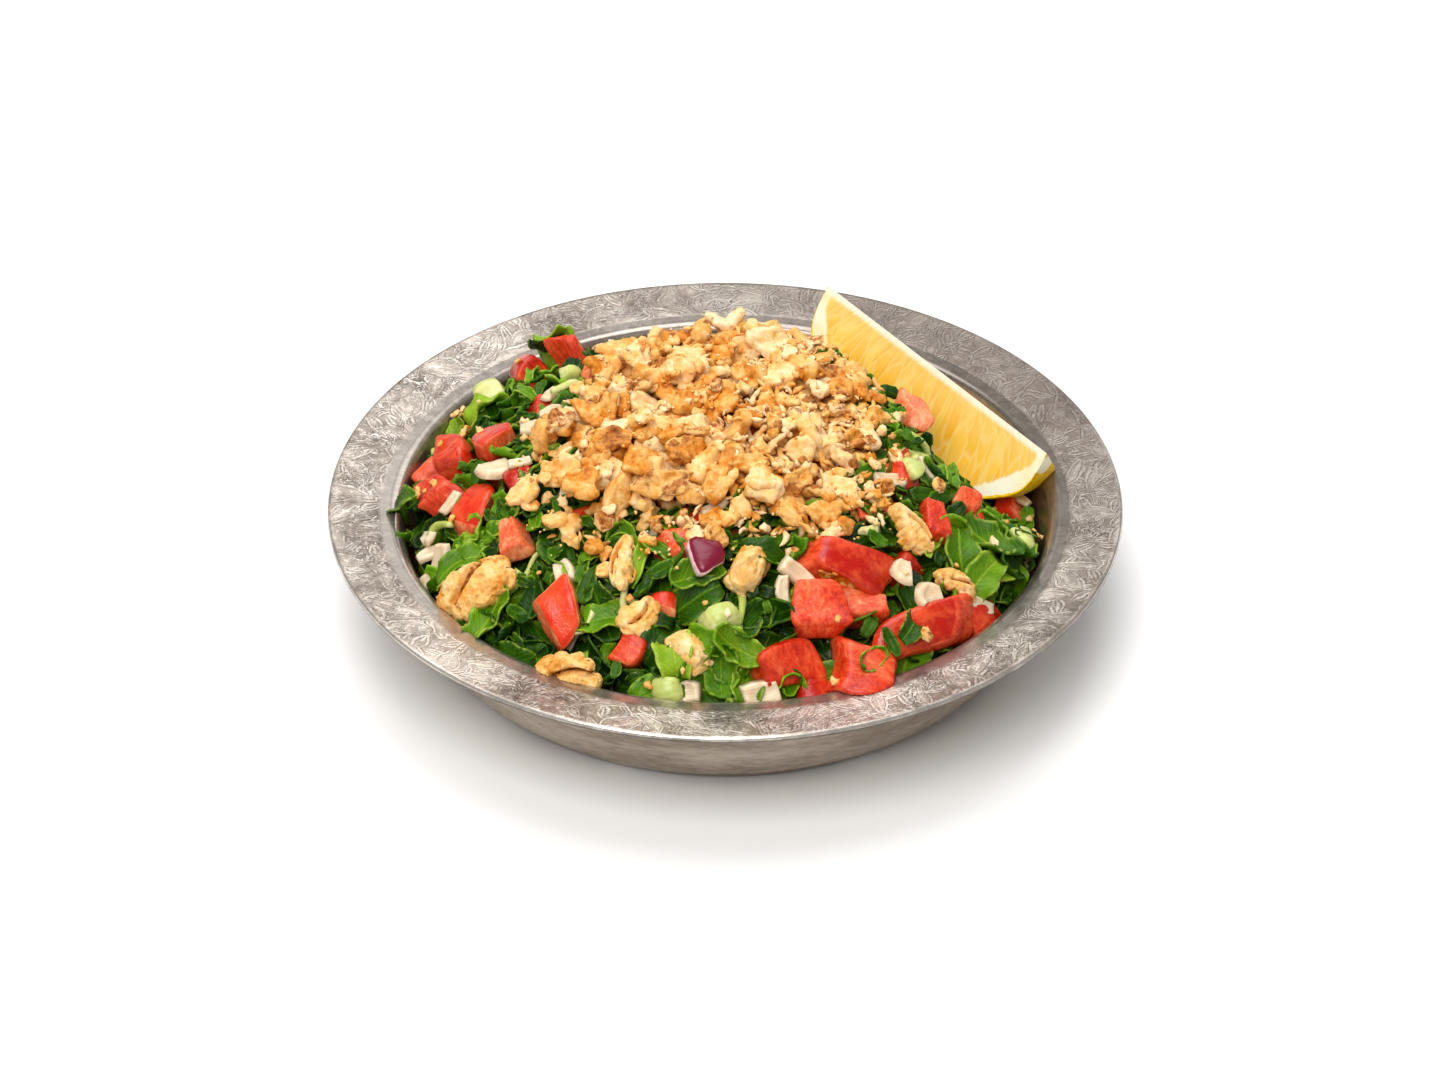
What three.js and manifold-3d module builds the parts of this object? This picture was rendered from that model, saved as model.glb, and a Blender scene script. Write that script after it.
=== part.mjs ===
// A dish of chopped walnut salad, in millimetres, +Z up, origin under the middle of the dish.
// The dish is a round metal one with a wide flat rim. Diced tomato, leaves and onion are heaped
// in it, crushed walnuts are heaped on those, and a lemon wedge leans on the far right lip.
import * as THREE from "three";
import { ConvexGeometry } from "three/addons/geometries/ConvexGeometry.js";
import { mergeVertices } from "three/addons/utils/BufferGeometryUtils.js";
import Module from "manifold-3d";

const wasm = await Module();
wasm.setup();

// ---- driving dimensions ----
const rimRadius = 105; // the rim's outer edge
const rimRise = 2.6; // how far the rim's edge stands above the lip
const lipRadius = 88.5; // where the rim turns down into the bowl
const lipRound = 3; // radius of that turn
const bowlHeight = 32; // from the table to the lip
const floorRadius = 72; // flat of the floor, inside
const heelRadius = 81; // foot of the wall, inside
const heelHeight = 9; // top of the heel's curve
const metal = 1.5; // thickness of the sheet metal
const contact = 0.35; // gap between pieces that touch
const heapPeak = 25.5; // bare salad above the lip at the middle
const heapSink = 8; // bare salad below the lip at the wall
const heapRadius = 86;
const heapFall = 2.8; // how full the heap's shoulders are
const nutRadius = 50; // mean radius of the crushed walnuts
const nutDepth = 8; // their depth in the middle
const nutEdge = 1.6; // their depth at the border

// ---- random numbers that are the same on each run ----
function seededRandom(seed) {
  let state = seed;
  return () => {
    state = (Math.imul(state, 1664525) + 1013904223) >>> 0;
    return state / 4294967296;
  };
}

// ---- from three.js geometry to a closed solid, and back ----
function solidOf(geometry) {
  const loose = geometry.index ? geometry.toNonIndexed() : geometry;
  const bare = new THREE.BufferGeometry().setAttribute("position", loose.getAttribute("position"));
  const merged = mergeVertices(bare, 1e-4);
  const corners = merged.index.array;
  const triangles = [];
  for (let i = 0; i < corners.length; i += 3) {
    const [a, b, c] = [corners[i], corners[i + 1], corners[i + 2]];
    if (a !== b && b !== c && a !== c) triangles.push(a, b, c);
  }
  const vertProperties = merged.attributes.position.array;
  const triVerts = Uint32Array.from(triangles);
  return new wasm.Manifold(new wasm.Mesh({ numProp: 3, vertProperties, triVerts }));
}

function geometryOf(solid) {
  const mesh = solid.getMesh();
  const points = new Float32Array(mesh.numVert * 3);
  for (let i = 0; i < mesh.numVert; i++) {
    points.set(mesh.vertProperties.subarray(i * mesh.numProp, i * mesh.numProp + 3), i * 3);
  }
  const geometry = new THREE.BufferGeometry();
  geometry.setAttribute("position", new THREE.BufferAttribute(points, 3));
  geometry.setIndex(new THREE.BufferAttribute(mesh.triVerts, 1));
  return geometry;
}

// The largest closed body of a solid: loose scraps go, and sealed hollows are filled.
function largestBody(solid) {
  return solid.decompose().reduce((a, b) => (b.volume() > a.volume() ? b : a));
}

function turned(profile, segments) {
  const points = profile.map(([r, z]) => new THREE.Vector2(r, z));
  return new THREE.LatheGeometry(points, segments).rotateX(Math.PI / 2);
}

function arc(r, z, radius, from, to, steps) {
  const points = [];
  for (let i = 0; i <= steps; i++) {
    const angle = ((from + ((to - from) * i) / steps) * Math.PI) / 180;
    points.push([r + radius * Math.cos(angle), z + radius * Math.sin(angle)]);
  }
  return points;
}

// ---- the dish ----
// The inside of the metal, from the floor's middle to the rim's edge, moved towards the air by gap.
function insideLine(gap) {
  const wallTop = lipRadius - lipRound - gap;
  return [
    [0, metal + gap],
    [floorRadius - gap, metal + gap],
    [floorRadius + 5.5 - gap, metal + 2.2 + gap],
    [heelRadius - gap, heelHeight],
    [wallTop, bowlHeight - lipRound],
    ...arc(lipRadius, bowlHeight - lipRound, lipRound + gap, 180, 90, 3).slice(1),
    [rimRadius, bowlHeight + rimRise + gap],
  ];
}

function dishGeometry() {
  const edge = arc(rimRadius - 0.9, bowlHeight + rimRise - 0.9, 0.9, 90, -90, 4);
  const underside = [
    ...edge,
    [lipRadius + 1, bowlHeight - metal],
    [lipRadius - lipRound + metal, bowlHeight - lipRound - 1.5],
    [heelRadius + metal, heelHeight],
    [floorRadius + 6.8, 1.8],
    [floorRadius + 2, 0],
    [0, 0],
  ];
  const inside = insideLine(0).slice(0, -1).reverse();
  return turned([...underside.reverse(), ...inside], 64);
}

// The air over the dish: what the food may fill.
function airSolid() {
  const line = insideLine(contact);
  const top = bowlHeight + 60;
  return solidOf(turned([...line, [rimRadius, top], [0, top]], 48));
}

// ---- the two heaps, as heights over the table ----
function bump(x, y, cx, cy, sx, sy) {
  return Math.exp(-(((x - cx) / sx) ** 2) - ((y - cy) / sy) ** 2);
}

function saladTop(x, y) {
  const r = Math.min(Math.hypot(x, y), heapRadius);
  const dome = heapPeak - (heapPeak + heapSink) * (r / heapRadius) ** heapFall;
  const pocket = 13 * bump(x, y, 78, 2, 9, 13); // the gap by the wall, under the lemon's tip
  const slope = 12 * bump(x, y, 63, 36, 17, 26); // where the salad falls away to the lemon
  const slump = 3 * bump(x, y, -70, 26, 12, 16) + 8 * bump(x, y, 4, 80, 48, 20);
  const lumps = 0.7 * Math.sin(x / 5 + 1) * Math.cos(y / 6);
  return bowlHeight + dome - pocket - slope - slump + lumps;
}

// How far out the crushed walnuts reach, by the direction round the dish.
function nutReach(angle) {
  const towards = (degrees, width) => {
    const off = Math.atan2(Math.sin(angle - (degrees * Math.PI) / 180), Math.cos(angle - (degrees * Math.PI) / 180));
    return Math.exp(-((off / ((width * Math.PI) / 180)) ** 2));
  };
  return nutRadius + 7 * towards(204, 18) - 10 * towards(160, 26) - 4 * towards(275, 24) - 7 * towards(15, 34);
}

function nutTop(x, y) {
  const share = Math.min(1, Math.hypot(x, y) / nutReach(Math.atan2(y, x)));
  return saladTop(x, y) + contact + nutEdge + (nutDepth - nutEdge) * (1 - share ** 2.4);
}

// The bare salad with nothing fused on, its top raised by gap.
function bareSalad(gap) {
  const top = (x, y) => saladTop(x, y) + gap;
  return solidOf(heapBody({ reach: () => heapRadius, rings: 7, sectors: 42, top, bottom: () => 0.5 }));
}

// A closed body between two heights, out to a reach that depends on the direction.
function heapBody({ reach, rings, sectors, top, bottom }) {
  const points = [];
  const index = [];
  for (const height of [top, bottom]) {
    points.push(0, 0, height(0, 0));
    for (let ring = 1; ring <= rings; ring++) {
      for (let sector = 0; sector < sectors; sector++) {
        const angle = (2 * Math.PI * sector) / sectors;
        const r = (reach(angle) * ring) / rings;
        const [x, y] = [r * Math.cos(angle), r * Math.sin(angle)];
        points.push(x, y, height(x, y));
      }
    }
  }
  const layer = 1 + rings * sectors;
  const at = (side, ring, sector) =>
    side * layer + (ring ? 1 + (ring - 1) * sectors + (sector % sectors) : 0);
  for (let sector = 0; sector < sectors; sector++) {
    for (let ring = 0; ring < rings; ring++) {
      for (const side of [0, 1]) {
        const [a, b] = [at(side, ring, sector), at(side, ring + 1, sector)];
        const [c, d] = [at(side, ring + 1, sector + 1), at(side, ring, sector + 1)];
        const quad = ring ? [a, b, c, a, c, d] : [a, b, c];
        index.push(...(side ? quad.reverse() : quad));
      }
    }
    const [a, b] = [at(0, rings, sector), at(0, rings, sector + 1)];
    const [c, d] = [at(1, rings, sector + 1), at(1, rings, sector)];
    index.push(a, d, c, a, c, b);
  }
  const geometry = new THREE.BufferGeometry();
  geometry.setAttribute("position", new THREE.Float32BufferAttribute(points, 3));
  return geometry.setIndex(index);
}

// ---- pieces of food, each about its own middle ----
// A dice of tomato: a jittered block whose skin side, +Z, bulges.
function tomatoDice(length, width, height, random) {
  const jitter = (size) => size * (0.86 + 0.28 * random());
  const points = [];
  for (const sx of [-1, 1]) {
    for (const sy of [-1, 1]) {
      for (const sz of [-1, 1]) {
        const taper = sz > 0 ? 1 : 0.8;
        const corner = [(sx * length * taper) / 2, (sy * width * taper) / 2, (sz * height * 0.7) / 2];
        points.push(new THREE.Vector3(...corner.map(jitter)));
      }
      points.push(new THREE.Vector3((sx * length) / 2.2, (sy * width) / 5, height * 0.42));
    }
    points.push(new THREE.Vector3((sx * length) / 6, 0, height / 2));
  }
  return new ConvexGeometry(points);
}

// A thin wavy sheet with thickness: a leaf, a slice of onion or a flake of nut.
function wavySheet({ length, width, thickness, steps, rows, outline, curl, wave }) {
  const points = [];
  for (const side of [1, -1]) {
    for (let i = 0; i <= steps; i++) {
      for (let j = 0; j <= rows; j++) {
        const u = i / steps;
        const v = (2 * j) / rows - 1;
        const x = (u - 0.5) * length;
        const y = (v * width * outline(u)) / 2;
        const z = curl * (4 * (u - 0.5) ** 2 + v * v) + wave * Math.sin(u * 9 + v * 2);
        points.push(x, y, z + (side * thickness) / 2);
      }
    }
  }
  const layer = (steps + 1) * (rows + 1);
  const at = (side, i, j) => side * layer + i * (rows + 1) + j;
  const index = [];
  for (let i = 0; i < steps; i++) {
    for (let j = 0; j < rows; j++) {
      for (const side of [0, 1]) {
        const [a, b] = [at(side, i, j), at(side, i + 1, j)];
        const [c, d] = [at(side, i + 1, j + 1), at(side, i, j + 1)];
        const quad = [a, b, c, a, c, d];
        index.push(...(side ? quad.reverse() : quad));
      }
    }
  }
  const wall = (i, j, k, l) => {
    const [a, b, c, d] = [at(0, i, j), at(1, i, j), at(1, k, l), at(0, k, l)];
    index.push(a, b, c, a, c, d);
  };
  for (let i = 0; i < steps; i++) {
    wall(i, 0, i + 1, 0);
    wall(i + 1, rows, i, rows);
  }
  for (let j = 0; j < rows; j++) {
    wall(0, j + 1, 0, j);
    wall(steps, j, steps, j + 1);
  }
  const geometry = new THREE.BufferGeometry();
  geometry.setAttribute("position", new THREE.Float32BufferAttribute(points, 3));
  return geometry.setIndex(index);
}

function leaf(length, width, random) {
  const tip = 0.25 + 0.3 * random();
  const lobes = 0.12 + 0.14 * random();
  const outline = (u) => tip + (1 - tip) * Math.sin(Math.PI * (0.12 + 0.76 * u)) + lobes * Math.sin(u * 14);
  const curl = length * (0.04 + 0.12 * random());
  return wavySheet({ length, width, thickness: 0.9, steps: 4, rows: 2, outline, curl, wave: length * 0.05 });
}

function onionSlice(length, width) {
  const outline = (u) => 0.8 + 0.2 * Math.sin(Math.PI * u);
  return wavySheet({ length, width, thickness: 1.8, steps: 2, rows: 1, outline, curl: -0.16 * length, wave: 0 });
}

// A broken chip of walnut: the hull of a few points on a squashed ball.
function nutChip(length, width, height, random) {
  const points = [];
  const count = 8;
  for (let i = 0; i < count; i++) {
    const up = 1 - (2 * (i + 0.5)) / count;
    const angle = i * 2.4 + random();
    const out = Math.sqrt(1 - up * up) * (0.8 + 0.3 * random());
    points.push(
      new THREE.Vector3((length / 2) * out * Math.cos(angle), (width / 2) * out * Math.sin(angle), (height / 2) * up),
    );
  }
  return new ConvexGeometry(points);
}

// A walnut kernel's half or quarter, grown by gap: a lobed, folded cap with a hollow under it.
function nutKernel({ length, width, height, lobes, depth, phase }, gap) {
  const oval = (angle) => (length * width) / 2 / Math.hypot(width * Math.cos(angle), length * Math.sin(angle));
  const lobed = (angle) => 1 - depth + depth * Math.cos(lobes * angle + phase);
  const arch = (x, y) => height * Math.sqrt(Math.max(0.06, 1.06 - 4 * ((x / length) ** 2 + (y / width) ** 2)));
  const folds = (x, y) => 0.12 * height * Math.cos((lobes * x) / 3 + phase) * Math.cos((lobes * y) / 4);
  return heapBody({
    reach: (angle) => oval(angle) * lobed(angle) + gap,
    rings: 2,
    sectors: 16,
    top: (x, y) => arch(x, y) - height * 0.5 + folds(x, y) + gap,
    bottom: (x, y) => 0.3 * arch(x, y) - height * 0.55 - gap,
  });
}

// ---- placing pieces on a heap ----
// The matrix that lays a piece on the surface: turned about the surface's normal, then tilted.
function layOn(surface, { x, y, lift = 0, turn = 0, tilt = 0, roll = 0 }) {
  const step = 2;
  const slopeX = (surface(x + step, y) - surface(x - step, y)) / (2 * step);
  const slopeY = (surface(x, y + step) - surface(x, y - step)) / (2 * step);
  const normal = new THREE.Vector3(-slopeX, -slopeY, 1).normalize();
  const radians = (degrees) => (degrees * Math.PI) / 180;
  const lean = new THREE.Quaternion().setFromUnitVectors(new THREE.Vector3(0, 0, 1), normal);
  const own = new THREE.Quaternion().setFromEuler(
    new THREE.Euler(radians(roll), radians(tilt), radians(turn), "ZYX"),
  );
  const place = new THREE.Vector3(x, y, surface(x, y)).addScaledVector(normal, lift);
  return new THREE.Matrix4().compose(place, lean.multiply(own), new THREE.Vector3(1, 1, 1));
}

const step = 0.35;
const nudges = [[step, 0, 0], [-step, 0, 0], [0, step, 0], [0, -step, 0], [0, 0, step], [0, 0, -step]];

// Whether a solid stays a small gap away from all the others.
function clearOf(solid, others) {
  return others.every((other) =>
    nudges.every((nudge) => solid.translate(nudge).intersect(other).volume() < 1e-6),
  );
}

// Adds a piece to a heap's list unless it would cross something that stands there.
function addPiece(list, geometry, matrix, keepOff) {
  const solid = solidOf(geometry.applyMatrix4(matrix));
  if (clearOf(solid, keepOff)) list.push(solid);
}

// ---- the lemon wedge ----
// Half a lemon's outline turned about its length, cut by the two faces that meet at its core.
const lemon = {
  stemEnd: [28.2, 69, 51.8], // upper end of the fruit's axis, over the far lip
  tipEnd: [85, 7, 38], // lower end, on the right lip
  radius: 28,
  coreRise: 4, // how far the two cut faces meet above the axis
  faceTurn: 62, // how far the shown face is turned down from level
  wedgeAngle: 62,
};

function lemonSolid(gap) {
  const from = new THREE.Vector3(...lemon.stemEnd);
  const to = new THREE.Vector3(...lemon.tipEnd);
  const along = to.clone().sub(from).normalize();
  const half = from.distanceTo(to) / 2;
  const profile = [];
  const steps = 12;
  for (let i = 0; i <= steps; i++) {
    const t = -Math.cos((Math.PI * i) / steps);
    const nipple = 0.1 * Math.exp(-(((1 - Math.abs(t)) / 0.12) ** 2));
    const r = lemon.radius * (Math.sqrt(1 - t * t) * (0.94 + 0.06 * (1 - t * t)) + nipple * Math.abs(t));
    profile.push([i === 0 || i === steps ? 0 : r + gap, t * (half + gap)]);
  }
  const level = new THREE.Vector3().crossVectors(along, new THREE.Vector3(0, 0, 1)).normalize();
  const up = new THREE.Vector3().crossVectors(level, along);
  const frame = new THREE.Matrix4().makeBasis(level, up, along.clone().negate());
  frame.setPosition(from.clone().add(to).multiplyScalar(0.5));
  const body = solidOf(turned(profile, 60).applyMatrix4(frame));
  const far = 60;
  const angleOf = (degrees) => (-degrees * Math.PI) / 180;
  const first = angleOf(lemon.faceTurn);
  const second = angleOf(lemon.faceTurn + lemon.wedgeAngle);
  const middle = (first + second) / 2;
  const apex = lemon.coreRise + gap / Math.sin(((lemon.wedgeAngle / 2) * Math.PI) / 180);
  const slab = new THREE.Shape([
    new THREE.Vector2(-apex * Math.cos(middle), -apex * Math.sin(middle)),
    new THREE.Vector2(far * Math.cos(second), far * Math.sin(second)),
    new THREE.Vector2(far * 1.3 * Math.cos(middle), far * 1.3 * Math.sin(middle)),
    new THREE.Vector2(far * Math.cos(first), far * Math.sin(first)),
  ]);
  const cut = new THREE.ExtrudeGeometry(slab, { depth: 2 * far, bevelEnabled: false });
  return body.intersect(solidOf(cut.translate(0, 0, -far).applyMatrix4(frame)));
}

// ---- what lies where; x and y over the table, sizes in millimetres, turns in degrees ----
const tomatoes = [
  { x: -51, y: 45, size: [13, 11, 14], turn: 20, lift: 4 },
  { x: -43, y: 45, size: [9, 12, 14], turn: 70, lift: 4 },
  { x: -60, y: 6, size: [13, 11, 9], turn: 30, lift: 1 },
  { x: -71, y: 11, size: [15, 13, 12], turn: 80, lift: 1 },
  { x: -73, y: -7, size: [14, 12, 12], turn: 110, lift: 1 },
  { x: -79, y: 16, size: [15, 9, 10], turn: 100, lift: -1 },
  { x: -66, y: -17, size: [17, 13, 8], turn: 60, lift: 0 },
  { x: -54, y: -35, size: [15, 9, 8], turn: 100, lift: 1 },
  { x: -41, y: -59, size: [18, 12, 10], turn: 105, lift: 2 },
  { x: -23, y: -71, size: [11, 9, 9], turn: 60, lift: 0 },
  { x: 22, y: -63, size: [13, 12, 10], turn: 100, lift: 1 },
  { x: 15, y: -74, size: [18, 12, 9], turn: 20, lift: 0 },
  { x: 30, y: -51, size: [24, 12, 10], turn: -8, lift: 2 },
  { x: 34, y: -58, size: [14, 9, 8], turn: 5, lift: -1 },
  { x: 49, y: -60, size: [26, 12, 10], turn: 30, lift: 2 },
  { x: 34, y: -74, size: [16, 15, 14], turn: 80, lift: 2 },
  { x: 52, y: -31, size: [11, 6, 8], turn: 100, lift: 2 },
  { x: 61, y: -19, size: [8, 6, 6], turn: 0, lift: 2 },
  { x: 66, y: -50, size: [13, 10, 8], turn: 50, lift: -1 },
  { x: 49, y: 14, size: [13, 9, 9], turn: 100, lift: 1 },
  { x: 22, y: -79, size: [10, 9, 9], turn: 10, lift: -2 },
  { x: 6, y: 68, size: [15, 12, 11], turn: 10, lift: 0 },
  { x: -24, y: 64, size: [14, 12, 11], turn: 130, lift: 1 },
  { x: -16, y: 76, size: [13, 11, 9], turn: 40, lift: 0 },
];

const greens = [
  { x: -45, y: 52, size: [20, 11], turn: 80, lift: 5, tilt: 40 },
  { x: -60, y: -31, size: [18, 11], turn: 20, lift: 0.4, tilt: 10 },
  { x: -60, y: -57, size: [17, 10], turn: 60, lift: 0.4, tilt: -10 },
  { x: -52, y: -65, size: [15, 9], turn: -40, lift: 0.4, tilt: 15 },
  { x: -31, y: -61, size: [16, 10], turn: 100, lift: 0.5, tilt: -20 },
  { x: -16, y: -50, size: [18, 10], turn: 150, lift: 0.5, tilt: 25 },
  { x: -8, y: -62, size: [17, 11], turn: 30, lift: 0.5, tilt: -25 },
  { x: 5, y: -65, size: [18, 10], turn: 80, lift: 0.6, tilt: 20 },
  { x: 13, y: -49, size: [16, 10], turn: -20, lift: 0.6, tilt: -15 },
  { x: -15, y: -79, size: [18, 11], turn: 20, lift: 0.4, tilt: 20 },
  { x: -5, y: -80, size: [18, 11], turn: 130, lift: 0.5, tilt: -25 },
  { x: 6, y: -80, size: [16, 10], turn: 60, lift: 0.4, tilt: 15 },
  { x: 24, y: -44, size: [16, 10], turn: 10, lift: 0.5, tilt: 20 },
  { x: 45, y: -67, size: [20, 12], turn: 70, lift: 3, tilt: 10 },
  { x: 59, y: -35, size: [19, 12], turn: 120, lift: 0.8, tilt: -20 },
  { x: 70, y: -32, size: [19, 11], turn: 60, lift: 0.5, tilt: 20 },
  { x: 72, y: -21, size: [16, 11], turn: 20, lift: 0.5, tilt: -15 },
  { x: 62, y: -47, size: [16, 9], turn: 10, lift: 0.5, tilt: 15 },
];

const walnuts = {
  walnut_piece_left: { x: -63, y: -45, lift: 3.6, turn: 12, tilt: -6, roll: 12, length: 24, width: 18, height: 9 },
  walnut_piece_front: { x: -37, y: -74, lift: 4.4, turn: -20, tilt: 4, roll: 24, length: 22, width: 15, height: 8 },
  walnut_stick: { x: -25, y: -52, lift: 4.4, turn: 80, tilt: 10, roll: 0, length: 20, width: 7, height: 6 },
  walnut_cube: { x: 6, y: -55, lift: 4, turn: 60, tilt: 0, roll: 10, length: 13, width: 9, height: 8 },
  walnut_flake: { x: -21, y: -65, lift: 3.4, turn: 55, tilt: 0, roll: 14, length: 14, width: 10, height: 5 },
  walnut_chip_low: { x: -8, y: -72.5, lift: 4, turn: 125, tilt: 0, roll: 16, length: 13, width: 8, height: 6 },
  walnut_chip_right: { x: 57, y: -46, lift: 4, turn: -15, tilt: 0, roll: 8, length: 13, width: 7, height: 5 },
  walnut_long_right: { x: 45, y: -38, lift: 5.6, turn: -35, tilt: 8, roll: 0, length: 19, width: 8, height: 7 },
};

// ---- building ----
const dish = solidOf(dishGeometry());
const air = airSolid();
const wedge = lemonSolid(0).intersect(air);
const wedgeRoom = lemonSolid(contact);

// The crushed walnuts: a bare cap on the salad, with chips and flakes fused on it.
function crushedWalnuts() {
  const sunk = (x, y) => saladTop(x, y) - 1.5;
  const cap = heapBody({ reach: nutReach, rings: 4, sectors: 28, top: nutTop, bottom: sunk });
  const random = seededRandom(11);
  const chips = [];
  const golden = 2.39996;
  const count = 66;
  for (let i = 0; i < count; i++) {
    const angle = i * golden;
    const r = nutReach(angle) * Math.sqrt((i + 0.5) / count) * 0.95;
    const size = 7 + 8 * random() ** 1.5;
    const place = {
      x: r * Math.cos(angle),
      y: r * Math.sin(angle),
      lift: 0.5 + 1.5 * random(),
      turn: 360 * random(),
      tilt: 80 * random() - 40,
      roll: 50 * random() - 25,
    };
    const chip = nutChip(size, size * (0.5 + 0.3 * random()), size * (0.35 + 0.3 * random()), random);
    chips.push(solidOf(chip.applyMatrix4(layOn(nutTop, place))));
  }
  const joined = wasm.Manifold.union([solidOf(cap), ...chips]);
  return largestBody(joined.subtract(bareSalad(contact)).subtract(wedgeRoom));
}

const crumbs = crushedWalnuts();

// Single walnut pieces lie on the salad, clear of the crushed ones.
const pieces = new Map();
const pieceRooms = [];
Object.entries(walnuts).forEach(([name, piece], i) => {
  const shape = { ...piece, lobes: 4 + (i % 3), depth: 0.09 + 0.03 * (i % 2), phase: i };
  const place = layOn(saladTop, piece);
  const solid = solidOf(nutKernel(shape, 0).applyMatrix4(place));
  pieces.set(name, largestBody(solid.intersect(air)));
  pieceRooms.push(solidOf(nutKernel(shape, contact).applyMatrix4(place)));
});

function saladHeap() {
  const keepOff = [crumbs, wedge, ...pieces.values()];
  const random = seededRandom(29);
  const added = [];
  for (const t of tomatoes) {
    addPiece(added, tomatoDice(...t.size, random), layOn(saladTop, { ...t, tilt: 24 * random() - 12 }), keepOff);
  }
  for (const g of greens) {
    addPiece(added, leaf(...g.size, random), layOn(saladTop, g), keepOff);
  }
  const golden = 2.39996;
  const count = 60;
  for (let i = 0; i < count; i++) {
    const angle = i * golden;
    const underLemon = Math.abs(Math.atan2(Math.sin(angle - 0.7), Math.cos(angle - 0.7))) < 0.6;
    if (underLemon) continue;
    const inner = nutReach(angle) + 5;
    const r = inner + (heapRadius - 4 - inner) * random();
    const place = {
      x: r * Math.cos(angle),
      y: r * Math.sin(angle),
      lift: 0.7 * random() - 0.2,
      turn: 360 * random(),
      tilt: 60 * random() - 30,
      roll: 60 * random() - 30,
    };
    const matrix = layOn(saladTop, place);
    if (i % 3 === 2) {
      addPiece(added, onionSlice(7 + 4 * random(), 5 + 2 * random()), matrix, keepOff);
    } else {
      addPiece(added, leaf(11 + 9 * random(), 7 + 5 * random(), random), matrix, keepOff);
    }
  }
  // the leaf that hangs over the left lip
  const overLip = { x: -82, y: -4, lift: 6, turn: 150, tilt: 20 };
  addPiece(added, leaf(24, 8, random), layOn(saladTop, overLip), keepOff);
  const rooms = wasm.Manifold.union([wedgeRoom, ...pieceRooms]);
  const heap = wasm.Manifold.union([bareSalad(0), ...added]);
  return largestBody(heap.intersect(air).subtract(rooms));
}

// ---- the finished object ----
const colours = {
  metal: { color: 0x9a948e, roughness: 0.4, metalness: 0.9 },
  salad: { color: 0x3f7a1c, roughness: 0.5, metalness: 0 },
  nut: { color: 0xdca868, roughness: 0.75, metalness: 0 },
  lemon: { color: 0xf5c23a, roughness: 0.35, metalness: 0 },
};

const group = new THREE.Group();
function addMesh(name, solid, colour) {
  const mesh = new THREE.Mesh(geometryOf(solid), new THREE.MeshStandardMaterial(colours[colour]));
  mesh.name = name;
  group.add(mesh);
}

addMesh("dish", dish, "metal");
addMesh("salad", saladHeap(), "salad");
addMesh("walnut_crumbs", crumbs, "nut");
addMesh("lemon_wedge", wedge, "lemon");
for (const [name, solid] of pieces) addMesh(name, solid, "nut");

export default group;
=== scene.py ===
import bpy, math
import numpy as np
from mathutils import Matrix, Vector, noise


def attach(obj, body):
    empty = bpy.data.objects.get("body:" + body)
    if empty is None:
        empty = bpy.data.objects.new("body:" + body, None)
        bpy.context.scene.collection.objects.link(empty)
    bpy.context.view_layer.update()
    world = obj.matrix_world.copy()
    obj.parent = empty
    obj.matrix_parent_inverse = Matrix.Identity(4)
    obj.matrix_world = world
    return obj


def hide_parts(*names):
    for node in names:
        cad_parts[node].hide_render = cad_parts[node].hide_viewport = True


noise.seed_set(11)  # without it noise_vector follows the clock
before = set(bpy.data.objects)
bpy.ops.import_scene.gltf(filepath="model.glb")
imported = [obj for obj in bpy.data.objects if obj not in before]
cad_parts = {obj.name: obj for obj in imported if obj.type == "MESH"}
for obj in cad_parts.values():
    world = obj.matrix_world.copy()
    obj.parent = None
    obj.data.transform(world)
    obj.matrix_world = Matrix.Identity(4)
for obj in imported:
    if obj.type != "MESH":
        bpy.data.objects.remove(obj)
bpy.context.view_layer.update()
mm = 0.001
anyTurn = 6.28  # radians, the top of a turn drawn at random

# camera, floor and light
view = {"target": (-0.0003, 0.0, 0.0175), "distance": 1.0, "elevation": 35.7, "lens": 92.98}
studio = {"floorSize": 6.0, "world": 0.35, "top": 18.5, "front": 16.5, "back": 3.2}


def rgb(red, green, blue):
    channel = lambda c: c / 12.92 if c <= 0.04045 else ((c + 0.055) / 1.055) ** 2.4
    return (channel(red / 255), channel(green / 255), channel(blue / 255), 1.0)


def addCamera():
    tilt = math.radians(view["elevation"])
    camera = bpy.data.objects.new("camera", bpy.data.cameras.new("camera"))
    bpy.context.scene.collection.objects.link(camera)
    away = Vector((0, -math.cos(tilt), math.sin(tilt))) * view["distance"]
    camera.location = Vector(view["target"]) + away
    camera.rotation_euler = (math.pi / 2 - tilt, 0, 0)
    camera.data.lens = view["lens"]
    camera.data.sensor_width = 36
    bpy.context.scene.camera = camera


def addLight(name, place, size, watts, colour=(1, 1, 1)):
    lamp = bpy.data.lights.new(name, "AREA")
    lamp.shape, lamp.size, lamp.energy, lamp.color = "DISK", size, watts, colour
    holder = bpy.data.objects.new(name, lamp)
    bpy.context.scene.collection.objects.link(holder)
    holder.location = place
    holder.rotation_euler = (Vector((0, 0, 0.03)) - Vector(place)).to_track_quat("-Z", "Y").to_euler()


addCamera()
addLight("softTop", (-0.1, 0.45, 1.6), 1.4, studio["top"])
addLight("softFront", (-0.25, -0.85, 1.3), 1.0, studio["front"], (1, 0.985, 0.96))
addLight("softBack", (0.45, 1.35, 0.85), 0.9, studio["back"])
bpy.context.scene.view_settings.view_transform = "Standard"
print("camera and lights")


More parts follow.
